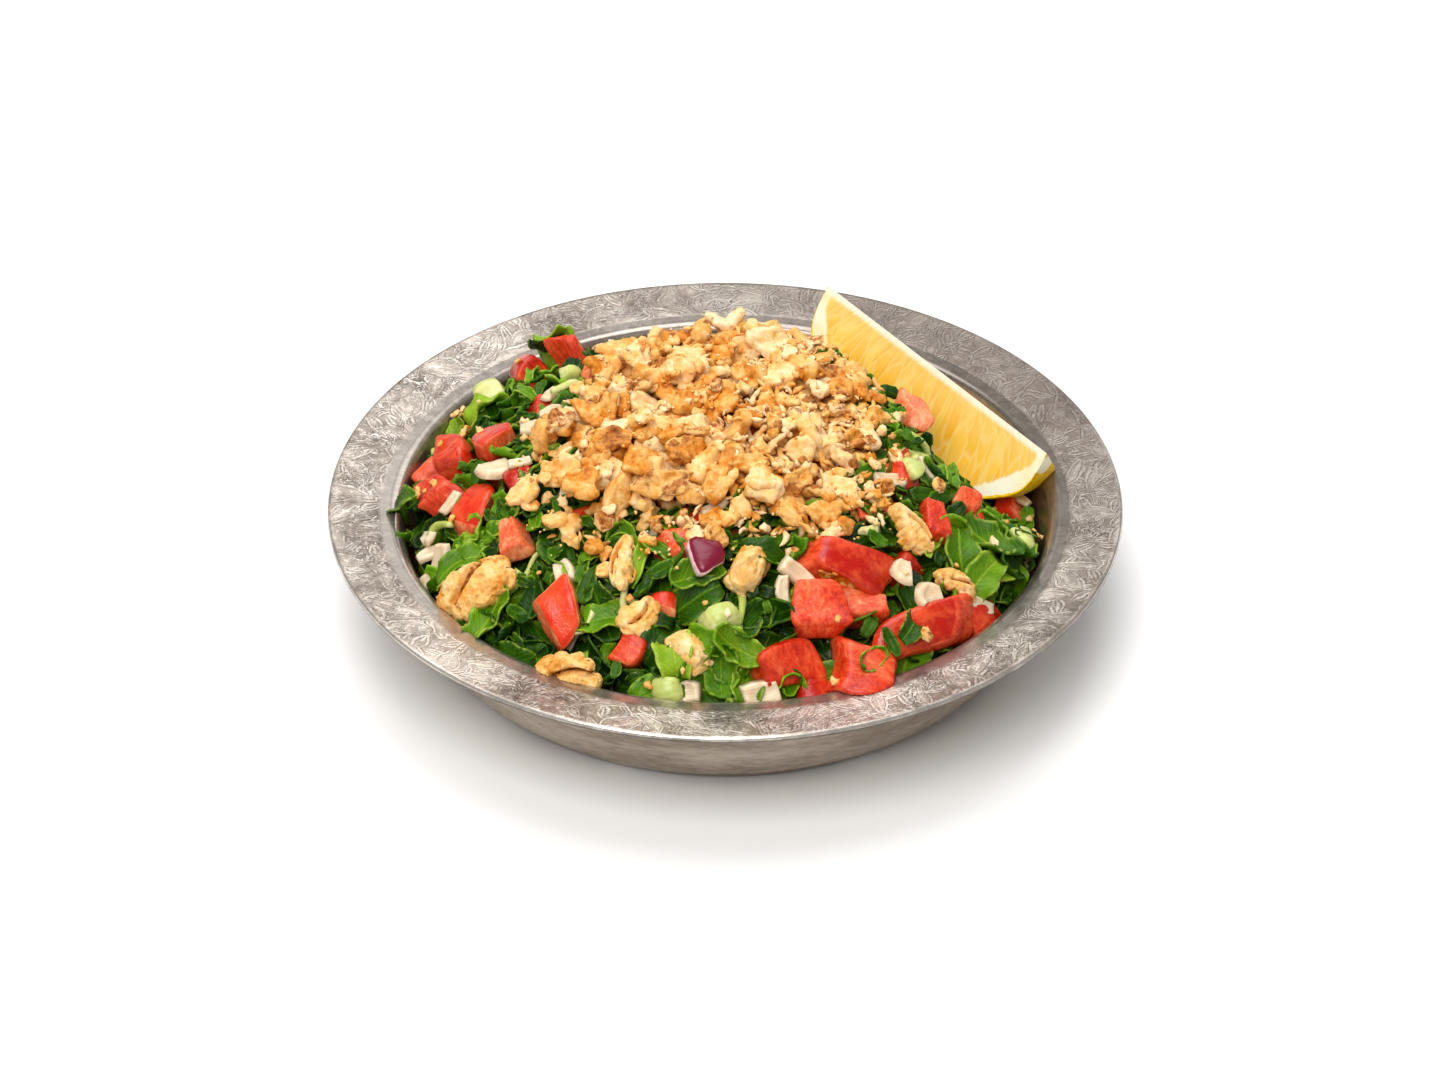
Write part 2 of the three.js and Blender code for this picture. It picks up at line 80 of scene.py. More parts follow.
# materials
class Wire:
    def __init__(self, paint, socket):
        self.paint, self.socket = paint, socket

    def math(self, operation, other=0.0):
        return self.paint.add("ShaderNodeMath", {"operation": operation}, {0: self, 1: other})[0]

    def __add__(self, other):
        return self.math("ADD", other)

    __radd__ = __add__

    def __mul__(self, other):
        return self.math("MULTIPLY", other)

    __rmul__ = __mul__

    def __sub__(self, other):
        return self.math("SUBTRACT", other)

    def __rsub__(self, other):
        return self.paint.add("ShaderNodeMath", {"operation": "SUBTRACT"}, {0: other, 1: self})[0]

    def __truediv__(self, other):
        return self.math("DIVIDE", other)

    def __rtruediv__(self, other):
        return self.paint.add("ShaderNodeMath", {"operation": "DIVIDE"}, {0: other, 1: self})[0]

    def abs(self):
        return self.math("ABSOLUTE")

    def ramp(self, low, high):  # 0 below low, 1 above high, smooth between
        return self.paint.add("ShaderNodeMapRange", {"interpolation_type": "SMOOTHSTEP"},
                              {0: self, 1: low, 2: high})[0]


class Made:
    def __init__(self, paint, node):
        self.paint, self.node = paint, node

    def __getitem__(self, key):
        return Wire(self.paint, self.node.outputs[key])


class Paint:
    def __init__(self, name):
        self.material = bpy.data.materials.new(name)
        self.material.use_nodes = True
        self.tree = self.material.node_tree
        self.shader = self.tree.nodes["Principled BSDF"]

    def add(self, kind, settings=None, inputs=None):
        node = self.tree.nodes.new(kind)
        for key, value in (settings or {}).items():
            if key == "stops":
                stops = node.color_ramp.elements
                while len(stops) < len(value):
                    stops.new(0.5)
                for stop, (place, colour) in zip(stops, value):
                    stop.position, stop.color = place, colour
            else:
                setattr(node, key, value)
        for key, value in (inputs or {}).items():
            if isinstance(value, Wire):
                self.tree.links.new(value.socket, node.inputs[key])
            else:
                node.inputs[key].default_value = value
        return Made(self, node)

    def place(self):
        return self.add("ShaderNodeTexCoord")["Object"]

    def attribute(self, name, output="Fac"):
        return self.add("ShaderNodeAttribute", {"attribute_name": name})[output]

    def mix(self, factor, first, second):
        return self.add("ShaderNodeMix", {"data_type": "RGBA"}, {0: factor, 6: first, 7: second})[2]

    def noise(self, scale, detail=3.0, roughness=0.55, vector=None, distortion=0.0):
        made = self.add("ShaderNodeTexNoise", None, {"Vector": vector or self.place(), "Scale": scale,
                        "Detail": detail, "Roughness": roughness, "Distortion": distortion})
        return made["Fac"]

    def bump(self, height, strength, distance):
        return self.add("ShaderNodeBump", None, {"Height": height, "Strength": strength,
                        "Distance": distance})["Normal"]

    def finish(self, **values):
        for key, value in values.items():
            socket = self.shader.inputs[key.replace("_", " ")]
            if isinstance(value, Wire):
                self.tree.links.new(value.socket, socket)
            else:
                socket.default_value = value
        return self.material


def floorPaint():
    p = Paint("paleFloor")
    shade = p.noise(1.5, 2.0)
    return p.finish(Base_Color=p.mix(shade, rgb(250, 250, 250), rgb(252, 252, 252)), Roughness=0.9)


# modelling helpers
def selectNothing():
    if bpy.context.object and bpy.context.object.mode != "OBJECT":
        bpy.ops.object.mode_set(mode="OBJECT")
    bpy.ops.object.select_all(action="DESELECT")


def started(name):  # names the primitive that was just added
    thing = bpy.context.object
    thing.name = thing.data.name = name
    return thing


def pointsOf(thing):
    found = np.empty(len(thing.data.vertices) * 3)
    thing.data.vertices.foreach_get("co", found)
    return found.reshape(-1, 3)


def movePoints(thing, points):
    thing.data.vertices.foreach_set("co", np.asarray(points, dtype=np.float32).ravel())
    thing.data.update()


def applied(thing, kind, **settings):
    modifier = thing.modifiers.new(kind.lower(), kind)
    for key, value in settings.items():
        setattr(modifier, key, value)
    bpy.context.view_layer.objects.active = thing
    bpy.ops.object.modifier_apply(modifier=modifier.name)


def outward(thing):
    bpy.context.view_layer.objects.active = thing
    bpy.ops.object.mode_set(mode="EDIT")
    bpy.ops.mesh.select_all(action="SELECT")
    bpy.ops.mesh.remove_doubles(threshold=1e-6)
    bpy.ops.mesh.normals_make_consistent(inside=False)
    bpy.ops.object.mode_set(mode="OBJECT")


def smooth(thing, degrees=None):
    selectNothing()
    thing.select_set(True)
    bpy.context.view_layer.objects.active = thing
    if degrees is None:
        bpy.ops.object.shade_smooth()
    else:
        bpy.ops.object.shade_smooth_by_angle(angle=math.radians(degrees))
    selectNothing()


def store(mesh, **values):  # a value for each point, for the materials
    for key, numbers in values.items():
        data = mesh.attributes.new(key, "FLOAT", "POINT")
        data.data.foreach_set("value", numbers.astype(np.float32))


def settle(thing, material, *nodes):  # the finished piece takes its material and its CAD nodes' place
    thing.data.materials.clear()
    thing.data.materials.append(material)
    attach(thing, "root")
    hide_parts(*nodes)
    return thing


# floor
selectNothing()
bpy.ops.mesh.primitive_plane_add(size=studio["floorSize"], location=(0, 0, -0.0004))
floor = started("floor")
floor.data.materials.append(floorPaint())

world = bpy.data.worlds.new("studio")
bpy.context.scene.world = world
world.use_nodes = True
world.node_tree.nodes["Background"].inputs["Color"].default_value = (1, 1, 1, 1)
world.node_tree.nodes["Background"].inputs["Strength"].default_value = studio["world"]

# dish
dish = {"rimRadius": 105.0, "rimRise": 2.6, "lipRadius": 88.5, "lipRound": 3.0, "bowlHeight": 32.0,
        "floorRadius": 72.0, "heelRadius": 81.0, "heelHeight": 9.0, "metal": 1.5, "segments": 240}


def arc(r, z, radius, start, end, steps):
    turns = [math.radians(start + (end - start) * i / steps) for i in range(steps + 1)]
    return [(r + radius * math.cos(a), z + radius * math.sin(a)) for a in turns]


def dishProfile():
    d = dish
    wallTop = d["lipRadius"] - d["lipRound"]
    heel = [(d["floorRadius"], d["metal"]), (d["floorRadius"] + 3.0, 2.2), (d["floorRadius"] + 5.5, 3.7),
            (d["floorRadius"] + 7.6, 6.1), (d["heelRadius"], d["heelHeight"])]
    inside = [(0.0, d["metal"]), (40.0, d["metal"])] + heel
    wallMiddle = ((d["heelRadius"] + wallTop) / 2, (d["heelHeight"] + d["bowlHeight"] - 3) / 2)
    inside += [wallMiddle] + arc(d["lipRadius"], d["bowlHeight"] - d["lipRound"], d["lipRound"], 180, 90, 8)
    for share in (0.03, 0.3, 0.6, 0.9):
        inside.append((d["lipRadius"] + 16.5 * share, d["bowlHeight"] + d["rimRise"] * share))
    edge = arc(d["rimRadius"] - 0.9, d["bowlHeight"] + d["rimRise"] - 0.9, 0.9, 90, -90, 8)
    under = [(d["lipRadius"] + 8, d["bowlHeight"] - 0.5), (d["lipRadius"] + 1, d["bowlHeight"] - d["metal"]),
             (wallTop + 2.4, d["bowlHeight"] - 2.6), (wallTop + 1.5, d["bowlHeight"] - 5.0),
             (d["heelRadius"] + 1.5, d["heelHeight"]), (d["floorRadius"] + 9.4, 4.6),
             (d["floorRadius"] + 6.8, 1.8), (d["floorRadius"] + 4.6, 0.5), (d["floorRadius"] + 2, 0.0), (0.0, 0.0)]
    return inside + edge + under


def makeDish():
    line = dishProfile()
    selectNothing()
    bpy.ops.mesh.primitive_plane_add(size=0.001)
    thing = started("dishMetal")
    bpy.ops.object.mode_set(mode="EDIT")
    bpy.ops.mesh.select_all(action="SELECT")
    bpy.ops.mesh.merge(type="CENTER")
    bpy.ops.transform.translate(value=(line[0][0] * mm, 0, line[0][1] * mm))
    for (r0, z0), (r1, z1) in zip(line, line[1:]):
        step = ((r1 - r0) * mm, 0, (z1 - z0) * mm)
        bpy.ops.mesh.extrude_vertices_move(TRANSFORM_OT_translate={"value": step})
    bpy.ops.mesh.select_all(action="SELECT")
    bpy.ops.mesh.spin(steps=dish["segments"], angle=2 * math.pi, center=(0, 0, 0), axis=(0, 0, 1))
    bpy.ops.object.mode_set(mode="OBJECT")
    outward(thing)
    smooth(thing, 50)
    return thing


def metalPaint():
    p = Paint("engravedMetal")
    place = p.place()
    split = p.add("ShaderNodeSeparateXYZ", None, {0: place})
    x, y, z = split[0] * 1000, split[1] * 1000, split[2] * 1000
    radius = (x * x + y * y).math("SQRT")
    flat = p.add("ShaderNodeCombineXYZ", None, {0: x, 1: y})[0]
    drift = p.add("ShaderNodeTexNoise", None, {"Vector": place, "Scale": 70.0, "Detail": 2.0})["Color"]
    cloud, fine, hair = p.noise(45, 4, 0.6), p.noise(420, 3, 0.65), p.noise(1500, 2, 0.6)

    def leaves(density, seed, length, width, warp):
        spot = p.add("ShaderNodeVectorMath", {"operation": "MULTIPLY_ADD"},
                     {0: drift, 1: (warp, warp, 0), 2: flat})[0]
        spot = p.add("ShaderNodeVectorMath", {"operation": "ADD"},
                     {0: spot, 1: (seed * 3.1, seed * 1.7, 0.0)})[0]
        cell = p.add("ShaderNodeTexVoronoi", {"voronoi_dimensions": "2D"}, {"Vector": spot, "Scale": density})
        near = p.add("ShaderNodeVectorMath", {"operation": "SUBTRACT"}, {0: spot, 1: cell["Position"]})[0]
        chance = p.add("ShaderNodeSeparateColor", None, {0: cell["Color"]})
        turned = p.add("ShaderNodeVectorRotate", {"rotation_type": "Z_AXIS"},
                       {"Vector": near, "Angle": chance[0] * 6.283})
        parts = p.add("ShaderNodeSeparateXYZ", None, {0: turned[0]})
        along = parts[0]
        across = parts[1] - along * along * ((chance[1] - 0.5) * 0.09)
        side = across.abs()
        share = (along / length).abs()
        half = (1 - share * share) * width * (0.7 + 0.5 * chance[2])
        edge = (side - half).abs()
        shown = 1 - share.ramp(0.88, 1.0)
        inside = (1 - (side - half).ramp(-0.4, 0.0)) * shown
        ribs = ((along * 0.75 + side * 0.9).math("PINGPONG", 0.5)).ramp(0.34, 0.48) * inside
        vein = 1 - side.ramp(0.08, 0.3)
        pale = ((1 - edge.ramp(0.12, 0.42)).math("MAXIMUM", vein)) * shown
        # dark: a thin band just outside each pale outline, the engraving's dark outline painted as the shadow
        # beside the raised line
        dark = (1 - (edge - 0.55).abs().ramp(0.08, 0.3)) * shown
        return pale.math("MAXIMUM", ribs * 0.6), dark, inside

    bigPale, bigShadowLine, bigInside = leaves(0.1, 0.0, 6.8, 2.7, 9.0)
    smallPale, smallShadowLine, _ = leaves(0.19, 7.0, 3.7, 1.3, 7.0)
    wave = (p.noise(95, 3, 0.55, None, 1.2) * 15).math("PINGPONG", 0.5)
    part = p.noise(160, 2).ramp(0.44, 0.58)
    strokes = (1 - wave.ramp(0.03, 0.13)) * part
    # a dark band beside each pale stroke: painted shadow of the raised stroke
    strokeShadows = (1 - (wave - 0.18).abs().ramp(0.02, 0.1)) * part
    onRim = radius.ramp(90.6, 92.2) * (1 - radius.ramp(103.6, 104.2)) * z.ramp(31.5, 32.2)
    pale = bigPale.math("MAXIMUM", smallPale * (1 - bigInside))
    pale = pale * (0.3 + 0.7 * cloud.ramp(0.35, 0.6)) * fine.ramp(0.3, 0.58)
    dark = (bigShadowLine.math("MAXIMUM", smallShadowLine * (1 - bigInside))) * fine.ramp(0.35, 0.6)
    tone = cloud * 0.62 + fine * 0.26 + hair * 0.12 + (bigInside - 0.4) * 0.05
    base = p.add("ShaderNodeValToRGB", {"stops": [
        (0.34, rgb(112, 102, 93)), (0.5, rgb(182, 170, 158)), (0.62, rgb(236, 226, 213))]}, {0: tone})[0]
    # the next two mixes paint the shadow lines beside the pale strokes and outlines, partly the engraving's own
    # dark outline
    base = p.mix(strokeShadows * onRim * 0.7, base, rgb(84, 74, 67))
    base = p.mix(dark * onRim * 0.65, base, rgb(84, 74, 67))
    base = p.mix((fine * 0.5 + hair * 0.5).ramp(0.52, 0.62) * onRim * 0.45, base, rgb(240, 231, 220))
    base = p.mix((strokes * 0.75).math("MAXIMUM", pale * 0.8) * onRim, base, rgb(250, 243, 234))
    lip = radius.ramp(85.9, 86.6) * (1 - radius.ramp(90.6, 92.2)) * z.ramp(29.0, 30.5)
    base = p.mix(lip * 0.8, base, p.mix(fine, rgb(150, 141, 132), rgb(206, 198, 188)))
    # painted highlight: a pale line along the upper side of the rolled outer edge; the same band is also polished
    # smoother
    edgeHighlight = radius.ramp(104.4, 104.6) * z.ramp(33.9, 34.1)
    paintedRightShade = (x * 0.0044 + y * 0.0046 + 0.14).math("MAXIMUM", 0.0)  # painted shade: the metal's colour darkens towards the far right and back, standing in for the dimmer light there
    base = p.mix(paintedRightShade, base, rgb(96, 86, 80))
    base = p.mix(edgeHighlight * 0.6, base, rgb(232, 226, 218))
    # painted shade: a dark line along the underside of the rolled outer edge
    base = p.mix(radius.ramp(103.6, 104.2) * (1 - z.ramp(33.6, 33.9)) * 0.8, base, rgb(74, 66, 60))
    outer = radius.ramp(74, 76) * (1 - z.ramp(30.2, 31.0)) * (radius - 0.18 * z).ramp(80.0, 80.6)
    streak = p.add("ShaderNodeMapping", None, {"Vector": place, "Scale": (1, 1, 6)})[0]
    stain, brush = p.noise(24, 3, 0.6, streak), p.noise(300, 3, 0.6, streak)
    body = p.mix((stain * 0.6 + brush * 0.4).ramp(0.35, 0.68), rgb(150, 136, 121), rgb(204, 192, 178))
    base = p.mix(outer, base, body)
    inner = (1 - radius.ramp(85.6, 86.6)) * (1 - outer)
    base = p.mix(inner * stain.ramp(0.25, 0.6) * 0.85, base, rgb(116, 82, 36))
    polish = lip.math("MAXIMUM", edgeHighlight)
    rough = (0.36 + fine * 0.14 - polish * 0.2 - inner * 0.1) + pale * onRim * 0.1
    height = (pale + strokes) * onRim * 0.6 - (dark + strokeShadows) * onRim * 0.6
    height = height + fine * 0.3 * (1 - polish) + cloud * 0.5 * onRim
    return p.finish(Base_Color=base, Metallic=0.85, Roughness=rough, Normal=p.bump(height, 0.3, 0.0004))


dishMetal = settle(makeDish(), metalPaint(), "dish")
print("dish")


# the heaps, as heights in millimetres
def bell(x, y, cx, cy, sx, sy):
    return np.exp(-(((x - cx) / sx) ** 2) - ((y - cy) / sy) ** 2)


def facing(angle, degrees, width):  # 1 in one direction, falling off to its sides
    turn = angle - math.radians(degrees)
    off = np.arctan2(np.sin(turn), np.cos(turn))
    return np.exp(-((off / math.radians(width)) ** 2))


mound = {"radius": 86.0, "peak": 25.5, "drop": 33.5, "fullness": 2.8,
         "nutReach": 50, "nutGap": 0.35, "nutEdge": 1.6, "nutDepth": 6.4, "nutFullness": 2.4}


def saladTop(x, y):
    r = np.minimum(np.hypot(x, y), mound["radius"])
    dome = mound["peak"] - mound["drop"] * (r / mound["radius"]) ** mound["fullness"]
    fall = 13 * bell(x, y, 78, 2, 9, 13) + 12 * bell(x, y, 63, 36, 17, 26)
    fall = fall + 3 * bell(x, y, -70, 26, 12, 16) + 8 * bell(x, y, 4, 80, 48, 20)
    return dish["bowlHeight"] + dome - fall + 0.7 * np.sin(x / 5 + 1) * np.cos(y / 6)


def nutReach(angle):
    spread = mound["nutReach"] + 7 * facing(angle, 204, 18) - 10 * facing(angle, 160, 26)
    return spread - 4 * facing(angle, 275, 24) - 7 * facing(angle, 15, 34)


def nutTop(x, y):
    share = np.minimum(1, np.hypot(x, y) / nutReach(np.arctan2(y, x)))
    edge = saladTop(x, y) + mound["nutGap"] + mound["nutEdge"]
    return edge + mound["nutDepth"] * (1 - share ** mound["nutFullness"])


wallRadii = [72, 77.5, 81, 85.5, 85.8, 86.9, 88.5, 105]  # the dish's inner line, in mm
wallHeights = [1.5, 3.7, 9, 29, 30.2, 31.4, 32, 34.6]


def wallRadius(z):
    return np.interp(z, wallHeights + [40], wallRadii + [160])


def dishInside(x, y):
    return np.interp(np.hypot(x, y), [0] + wallRadii, wallHeights[:1] + wallHeights)


def layOn(x, y, lift=0.0, turn=0.0, tilt=0.0, roll=0.0):  # a matrix in mm, level with the salad's slope
    slopeX = (saladTop(x + 2, y) - saladTop(x - 2, y)) / 4
    slopeY = (saladTop(x, y + 2) - saladTop(x, y - 2)) / 4
    normal = Vector((-slopeX, -slopeY, 1)).normalized()
    lean = Vector((0, 0, 1)).rotation_difference(normal).to_matrix().to_4x4()
    own = (Matrix.Rotation(math.radians(turn), 4, "Z") @ Matrix.Rotation(math.radians(tilt), 4, "Y")
           @ Matrix.Rotation(math.radians(roll), 4, "X"))
    return Matrix.Translation(Vector((x, y, float(saladTop(x, y)))) + normal * lift) @ lean @ own


def keptInside(points, gap):  # points in mm that reach through the dish's wall are drawn back
    reach = np.hypot(points[:, 0], points[:, 1])
    share = np.minimum(1, (wallRadius(points[:, 2]) - gap) / np.maximum(reach, 1e-6))
    points[:, :2] *= share[:, None]
    points[:, 2] = np.maximum(points[:, 2], dish["metal"] + gap)
    return points


# lemon wedge
lemon = {"stemEnd": (28.2, 69, 51.8), "tipEnd": (85, 7, 38), "radius": 28.0, "coreRise": 4.0,
         "faceTurn": 62.0, "wedgeAngle": 62.0, "slice": 1.6, "faceSlices": 22, "zest": 0.9,
         "pith": 3.1, "pulpStart": 1.6, "pulpRipple": 0.25, "pulpGrain": 0.16, "rindLumps": 0.3, "wallGap": 0.4}


def lemonRadius(t):
    nipple = 0.1 * np.exp(-(((1 - np.abs(t)) / 0.12) ** 2))
    body = np.sqrt(np.clip(1 - t * t, 0, 1))
    return lemon["radius"] * (body * (0.94 + 0.06 * (1 - t * t)) + nipple * np.abs(t))


def makeLemon():
    start, end = Vector(lemon["stemEnd"]), Vector(lemon["tipEnd"])
    along = (end - start).normalized()
    half = (end - start).length / 2
    level = along.cross(Vector((0, 0, 1))).normalized()
    up = level.cross(along)
    middle = (start + end) / 2
    selectNothing()
    bpy.ops.mesh.primitive_uv_sphere_add(segments=160, ring_count=90, radius=1)
    thing = started("lemonWedge")
    points = pointsOf(thing)
    t = np.clip(points[:, 2], -1, 1)
    flat = np.maximum(np.hypot(points[:, 0], points[:, 1]), 1e-9)
    r = np.where(flat < 1e-6, 0, lemonRadius(t))
    shaped = (np.outer(points[:, 0] / flat * r, level) + np.outer(points[:, 1] / flat * r, up)
              + np.outer(t * half, -along) + np.array(middle))
    movePoints(thing, shaped * mm)
    middleTurn = math.radians(-lemon["faceTurn"] - lemon["wedgeAngle"] / 2)
    apex = middle - (level * math.cos(middleTurn) + up * math.sin(middleTurn)) * lemon["coreRise"]
    faces = []
    for turn, side in ((-lemon["faceTurn"], 1), (-lemon["faceTurn"] - lemon["wedgeAngle"], -1)):
        a = math.radians(turn)
        faces.append((level * -math.sin(a) + up * math.cos(a)) * side)
    bpy.ops.object.mode_set(mode="EDIT")
    for normal in faces:
        bpy.ops.mesh.select_all(action="SELECT")
        bpy.ops.mesh.bisect(plane_co=apex * mm, plane_no=normal, use_fill=True, clear_outer=True)
    faceTurn = math.radians(-lemon["faceTurn"])
    shownDown = level * math.cos(faceTurn) + up * math.sin(faceTurn)
    for i in range(1, int(2 * half / lemon["slice"])):
        bpy.ops.mesh.select_all(action="SELECT")
        bpy.ops.mesh.bisect(plane_co=(start + along * i * lemon["slice"]) * mm, plane_no=along)
    for i in range(1, lemon["faceSlices"]):
        bpy.ops.mesh.select_all(action="SELECT")
        bpy.ops.mesh.bisect(plane_co=(apex + shownDown * i * lemon["slice"]) * mm, plane_no=shownDown)
    bpy.ops.object.mode_set(mode="OBJECT")
    outward(thing)
    points = pointsOf(thing) / mm
    local = points - np.array(middle)
    t = local @ np.array(along) / half
    r = np.hypot(local @ np.array(level), local @ np.array(up))
    depth = lemonRadius(np.clip(t, -1, 1)) - r
    core = np.linalg.norm(np.cross(points - np.array(apex), np.array(along)), axis=1)
    onFace = [np.abs((points - np.array(apex)) @ np.array(n)) < 0.02 for n in faces]
    pithWidth = lemon["pith"] + 6.0 * np.clip(np.abs(t) - 0.6, 0, 1) ** 1.3
    for normal, hits in zip(faces, onFace):
        inner = hits & (depth > pithWidth) & (core > lemon["pulpStart"])
        swell = np.clip((depth - pithWidth) / 2, 0, 1) * np.clip((core - lemon["pulpStart"]) / 2, 0, 1)
        for i in np.nonzero(inner)[0]:
            q = points[i]
            ripple = noise.noise(Vector((t[i] * 26, core[i] * 0.12, 3.0)))
            grain = noise.noise(Vector(q) * 0.8)
            lift = lemon["pulpRipple"] * ripple + lemon["pulpGrain"] * grain - 0.1
            points[i] = q + np.array(normal) * swell[i] * lift
    outer = ~(onFace[0] | onFace[1])
    for i in np.nonzero(outer)[0]:
        direction = Vector(local[i] - t[i] * half * np.array(along)).normalized()
        points[i] += np.array(direction) * lemon["rindLumps"] * noise.noise(Vector(points[i]) * 0.45)
    movePoints(thing, keptInside(points, lemon["wallGap"]) * mm)
    store(thing.data, rindDepth=depth, coreDepth=core, along=t)
    smooth(thing, 35)
    return thing


def lemonPaint():
    p = Paint("lemonFruit")
    depth, core, along = p.attribute("rindDepth"), p.attribute("coreDepth"), p.attribute("along")
    wide, fine = p.noise(90, 2), p.noise(700, 3)
    pores = p.add("ShaderNodeTexVoronoi", None, {"Vector": p.place(), "Scale": 620.0})["Distance"]
    fan = along * (1 + 5 / (core + 12))
    grain = p.add("ShaderNodeCombineXYZ", None,
                  {0: fan * 11 + (wide - 0.5) * 1.2, 1: core * 0.07, 2: wide * 0.5})[0]
    sacs = p.add("ShaderNodeTexVoronoi", {"feature": "DISTANCE_TO_EDGE"}, {"Vector": grain, "Scale": 1.0})[0]
    sacTone = p.add("ShaderNodeSeparateColor", None, {0: p.add("ShaderNodeTexVoronoi", None, {
        "Vector": grain, "Scale": 1.0})["Color"]})[0]
    threads = p.noise(1.0, 3, 0.6, p.add("ShaderNodeCombineXYZ", None, {0: fan * 40, 1: core * 0.12})[0])
    ends = (along.abs() - 0.62).math("MAXIMUM", 0.0)
    scallop = p.noise(1.0, 2, 0.5, p.add("ShaderNodeCombineXYZ", None, {0: along * 26})[0])
    pithEdge = lemon["pith"] + ends * 17 + (scallop - 0.5) * 3.0
    inFlesh = (depth - pithEdge).ramp(-0.5, 0.9)
    inPith = (depth + (scallop - 0.5) * 0.9).ramp(lemon["zest"] * 0.7, lemon["zest"] * 1.2)
    coreLine = 1 - (core + (threads - 0.5) * 1.6).ramp(0.9, 2.4)
    flesh = p.mix(sacTone * 0.5 + threads * 0.5, rgb(252, 176, 26), rgb(255, 214, 96))
    flesh = p.mix((1 - sacs.ramp(0.0, 0.1)) * 0.35, flesh, rgb(255, 232, 160))
    flesh = p.mix((1 - core.ramp(3, 13)) * 0.4, flesh, rgb(255, 222, 140))
    flesh = p.mix((threads.ramp(0.66, 0.76)) * 0.6, flesh, rgb(255, 244, 200))
    pith = p.mix(wide.ramp(0.3, 0.7), rgb(252, 230, 160), rgb(255, 248, 222))
    zest = p.mix(pores.ramp(0.1, 0.6), rgb(228, 164, 4), rgb(252, 204, 16))
    colour = p.mix(inPith, zest, pith)
    colour = p.mix(inFlesh, colour, flesh)
    colour = p.mix(coreLine * inPith, colour, rgb(255, 246, 220))
    height = sacs.ramp(0.0, 0.25) * inFlesh * 0.5 + fine * 0.2 + pores * (1 - inPith) * 0.8
    # the wedge also glows faintly with its own colour (emission 0.1): painted light that brightens its face turned
    # from the lamps
    return p.finish(Base_Color=colour, Roughness=0.42 - inFlesh * 0.2, Subsurface_Weight=0.2,
                    Subsurface_Radius=(0.004, 0.003, 0.001), Subsurface_Scale=1.0,
                    Emission_Color=colour, Emission_Strength=0.1, Normal=p.bump(height, 0.4, 0.0006))


lemonWedge = settle(makeLemon(), lemonPaint(), "lemon_wedge")
print("lemon")


# shapes that are repeated: modelled once, kept as points and triangles in mm
def remember(thing, skin=None):
    mesh = thing.data
    mesh.calc_loop_triangles()
    triangles = np.empty(len(mesh.loop_triangles) * 3, dtype=np.int64)
    mesh.loop_triangles.foreach_get("vertices", triangles)
    shape = {"points": pointsOf(thing), "triangles": triangles.reshape(-1, 3),
             "skin": np.zeros(len(mesh.vertices)) if skin is None else skin}
    shape["own"] = shape["points"].copy()
    bpy.data.objects.remove(thing, do_unlink=True)
    return shape


def chunkShape(seed, cuts, square, rough, pocket=False):  # a rounded dice, its top side is skin
    rng = np.random.default_rng(seed)
    selectNothing()
    bpy.ops.mesh.primitive_cube_add(size=2)
    thing = started("chunk")
    bpy.ops.object.mode_set(mode="EDIT")
    bpy.ops.mesh.subdivide(number_cuts=cuts)
    bpy.ops.object.mode_set(mode="OBJECT")
    points = pointsOf(thing)
    skin = (points[:, 2] > 0.99).astype(float)
    hollow = np.exp(-((points[:, 0] / 0.55) ** 2) - (points[:, 2] / 0.5) ** 2) * (points[:, 1] < -0.99)
    points /= ((np.abs(points) ** square).sum(axis=1) ** (1 / square))[:, None]
    if pocket:
        points[:, 1] += 0.42 * hollow
        skin = skin - 1.6 * (hollow > 0.35)
    lean, taper = rng.normal(0, 0.13, 3), rng.uniform(-0.28, 0.28, 3)
    points[:, 0] += lean[0] * points[:, 1] + lean[1] * points[:, 2]
    widen = 1 + taper[0] * points[:, 0] + 1.6 * taper[2] * points[:, 2]
    points[:, 1] = points[:, 1] * widen + lean[2] * points[:, 2]
    points[:, 2] = points[:, 2] * (1 + taper[1] * points[:, 0]) - rng.uniform(0.1, 0.4) * points[:, 0] ** 2
    for i, q in enumerate(points):
        at = Vector(q) * 0.8 + Vector((seed * 5.3, 0, 0))
        ripple = 0.16 * noise.noise(at * 3.0) + 0.1 * noise.noise(at * 7.0)
        points[i] = q * (1 + rough * (noise.noise(at) + ripple))
    movePoints(thing, points * 0.5)
    return remember(thing, skin)


def sheetShape(seed, length, width, outline, bend, cup, ruffle, thick, steps=12, rows=5):
    rng = np.random.default_rng(seed)
    selectNothing()
    bpy.ops.mesh.primitive_grid_add(x_subdivisions=steps, y_subdivisions=rows, size=2)
    thing = started("sheet")
    points = pointsOf(thing)
    u, v = (points[:, 0] + 1) / 2, points[:, 1]
    half = outline(u, v) * width / 2
    turnV = v * cup * (0.6 + 0.4 * outline(u, v)) + 1e-4
    spread = half * v / turnV
    y, rise = np.sin(turnV) * spread, (1 - np.cos(turnV)) * np.abs(spread)
    phase = rng.uniform(0, anyTurn, 4)
    rise += ruffle * np.abs(v) ** 1.6 * np.sin(u * (13 + seed % 5) + phase[0] + 1.5 * np.sign(v))
    rise += ruffle * 0.4 * np.sin(u * 6 + phase[1]) * np.cos(v * 2.2 + phase[2])
    turnU = bend * (u - 0.5) + 1e-4
    reach = length / (bend + 1e-4 * (bend == 0))
    x = np.sin(turnU) * (reach - rise)
    z = (1 - np.cos(turnU)) * reach + np.cos(turnU) * rise
    y += rng.normal(0, 0.12) * x + 0.15 * length * (u - 0.5) ** 2 * rng.normal(0, 1.5)
    movePoints(thing, np.stack([x, y, z - z.mean()], axis=1))
    uv = np.stack([u, v, np.zeros_like(u)], axis=1)
    applied(thing, "SOLIDIFY", thickness=thick, offset=0.0)
    shape = remember(thing)
    shape["own"] = uv[np.arange(len(shape["points"])) % len(uv)]
    return shape


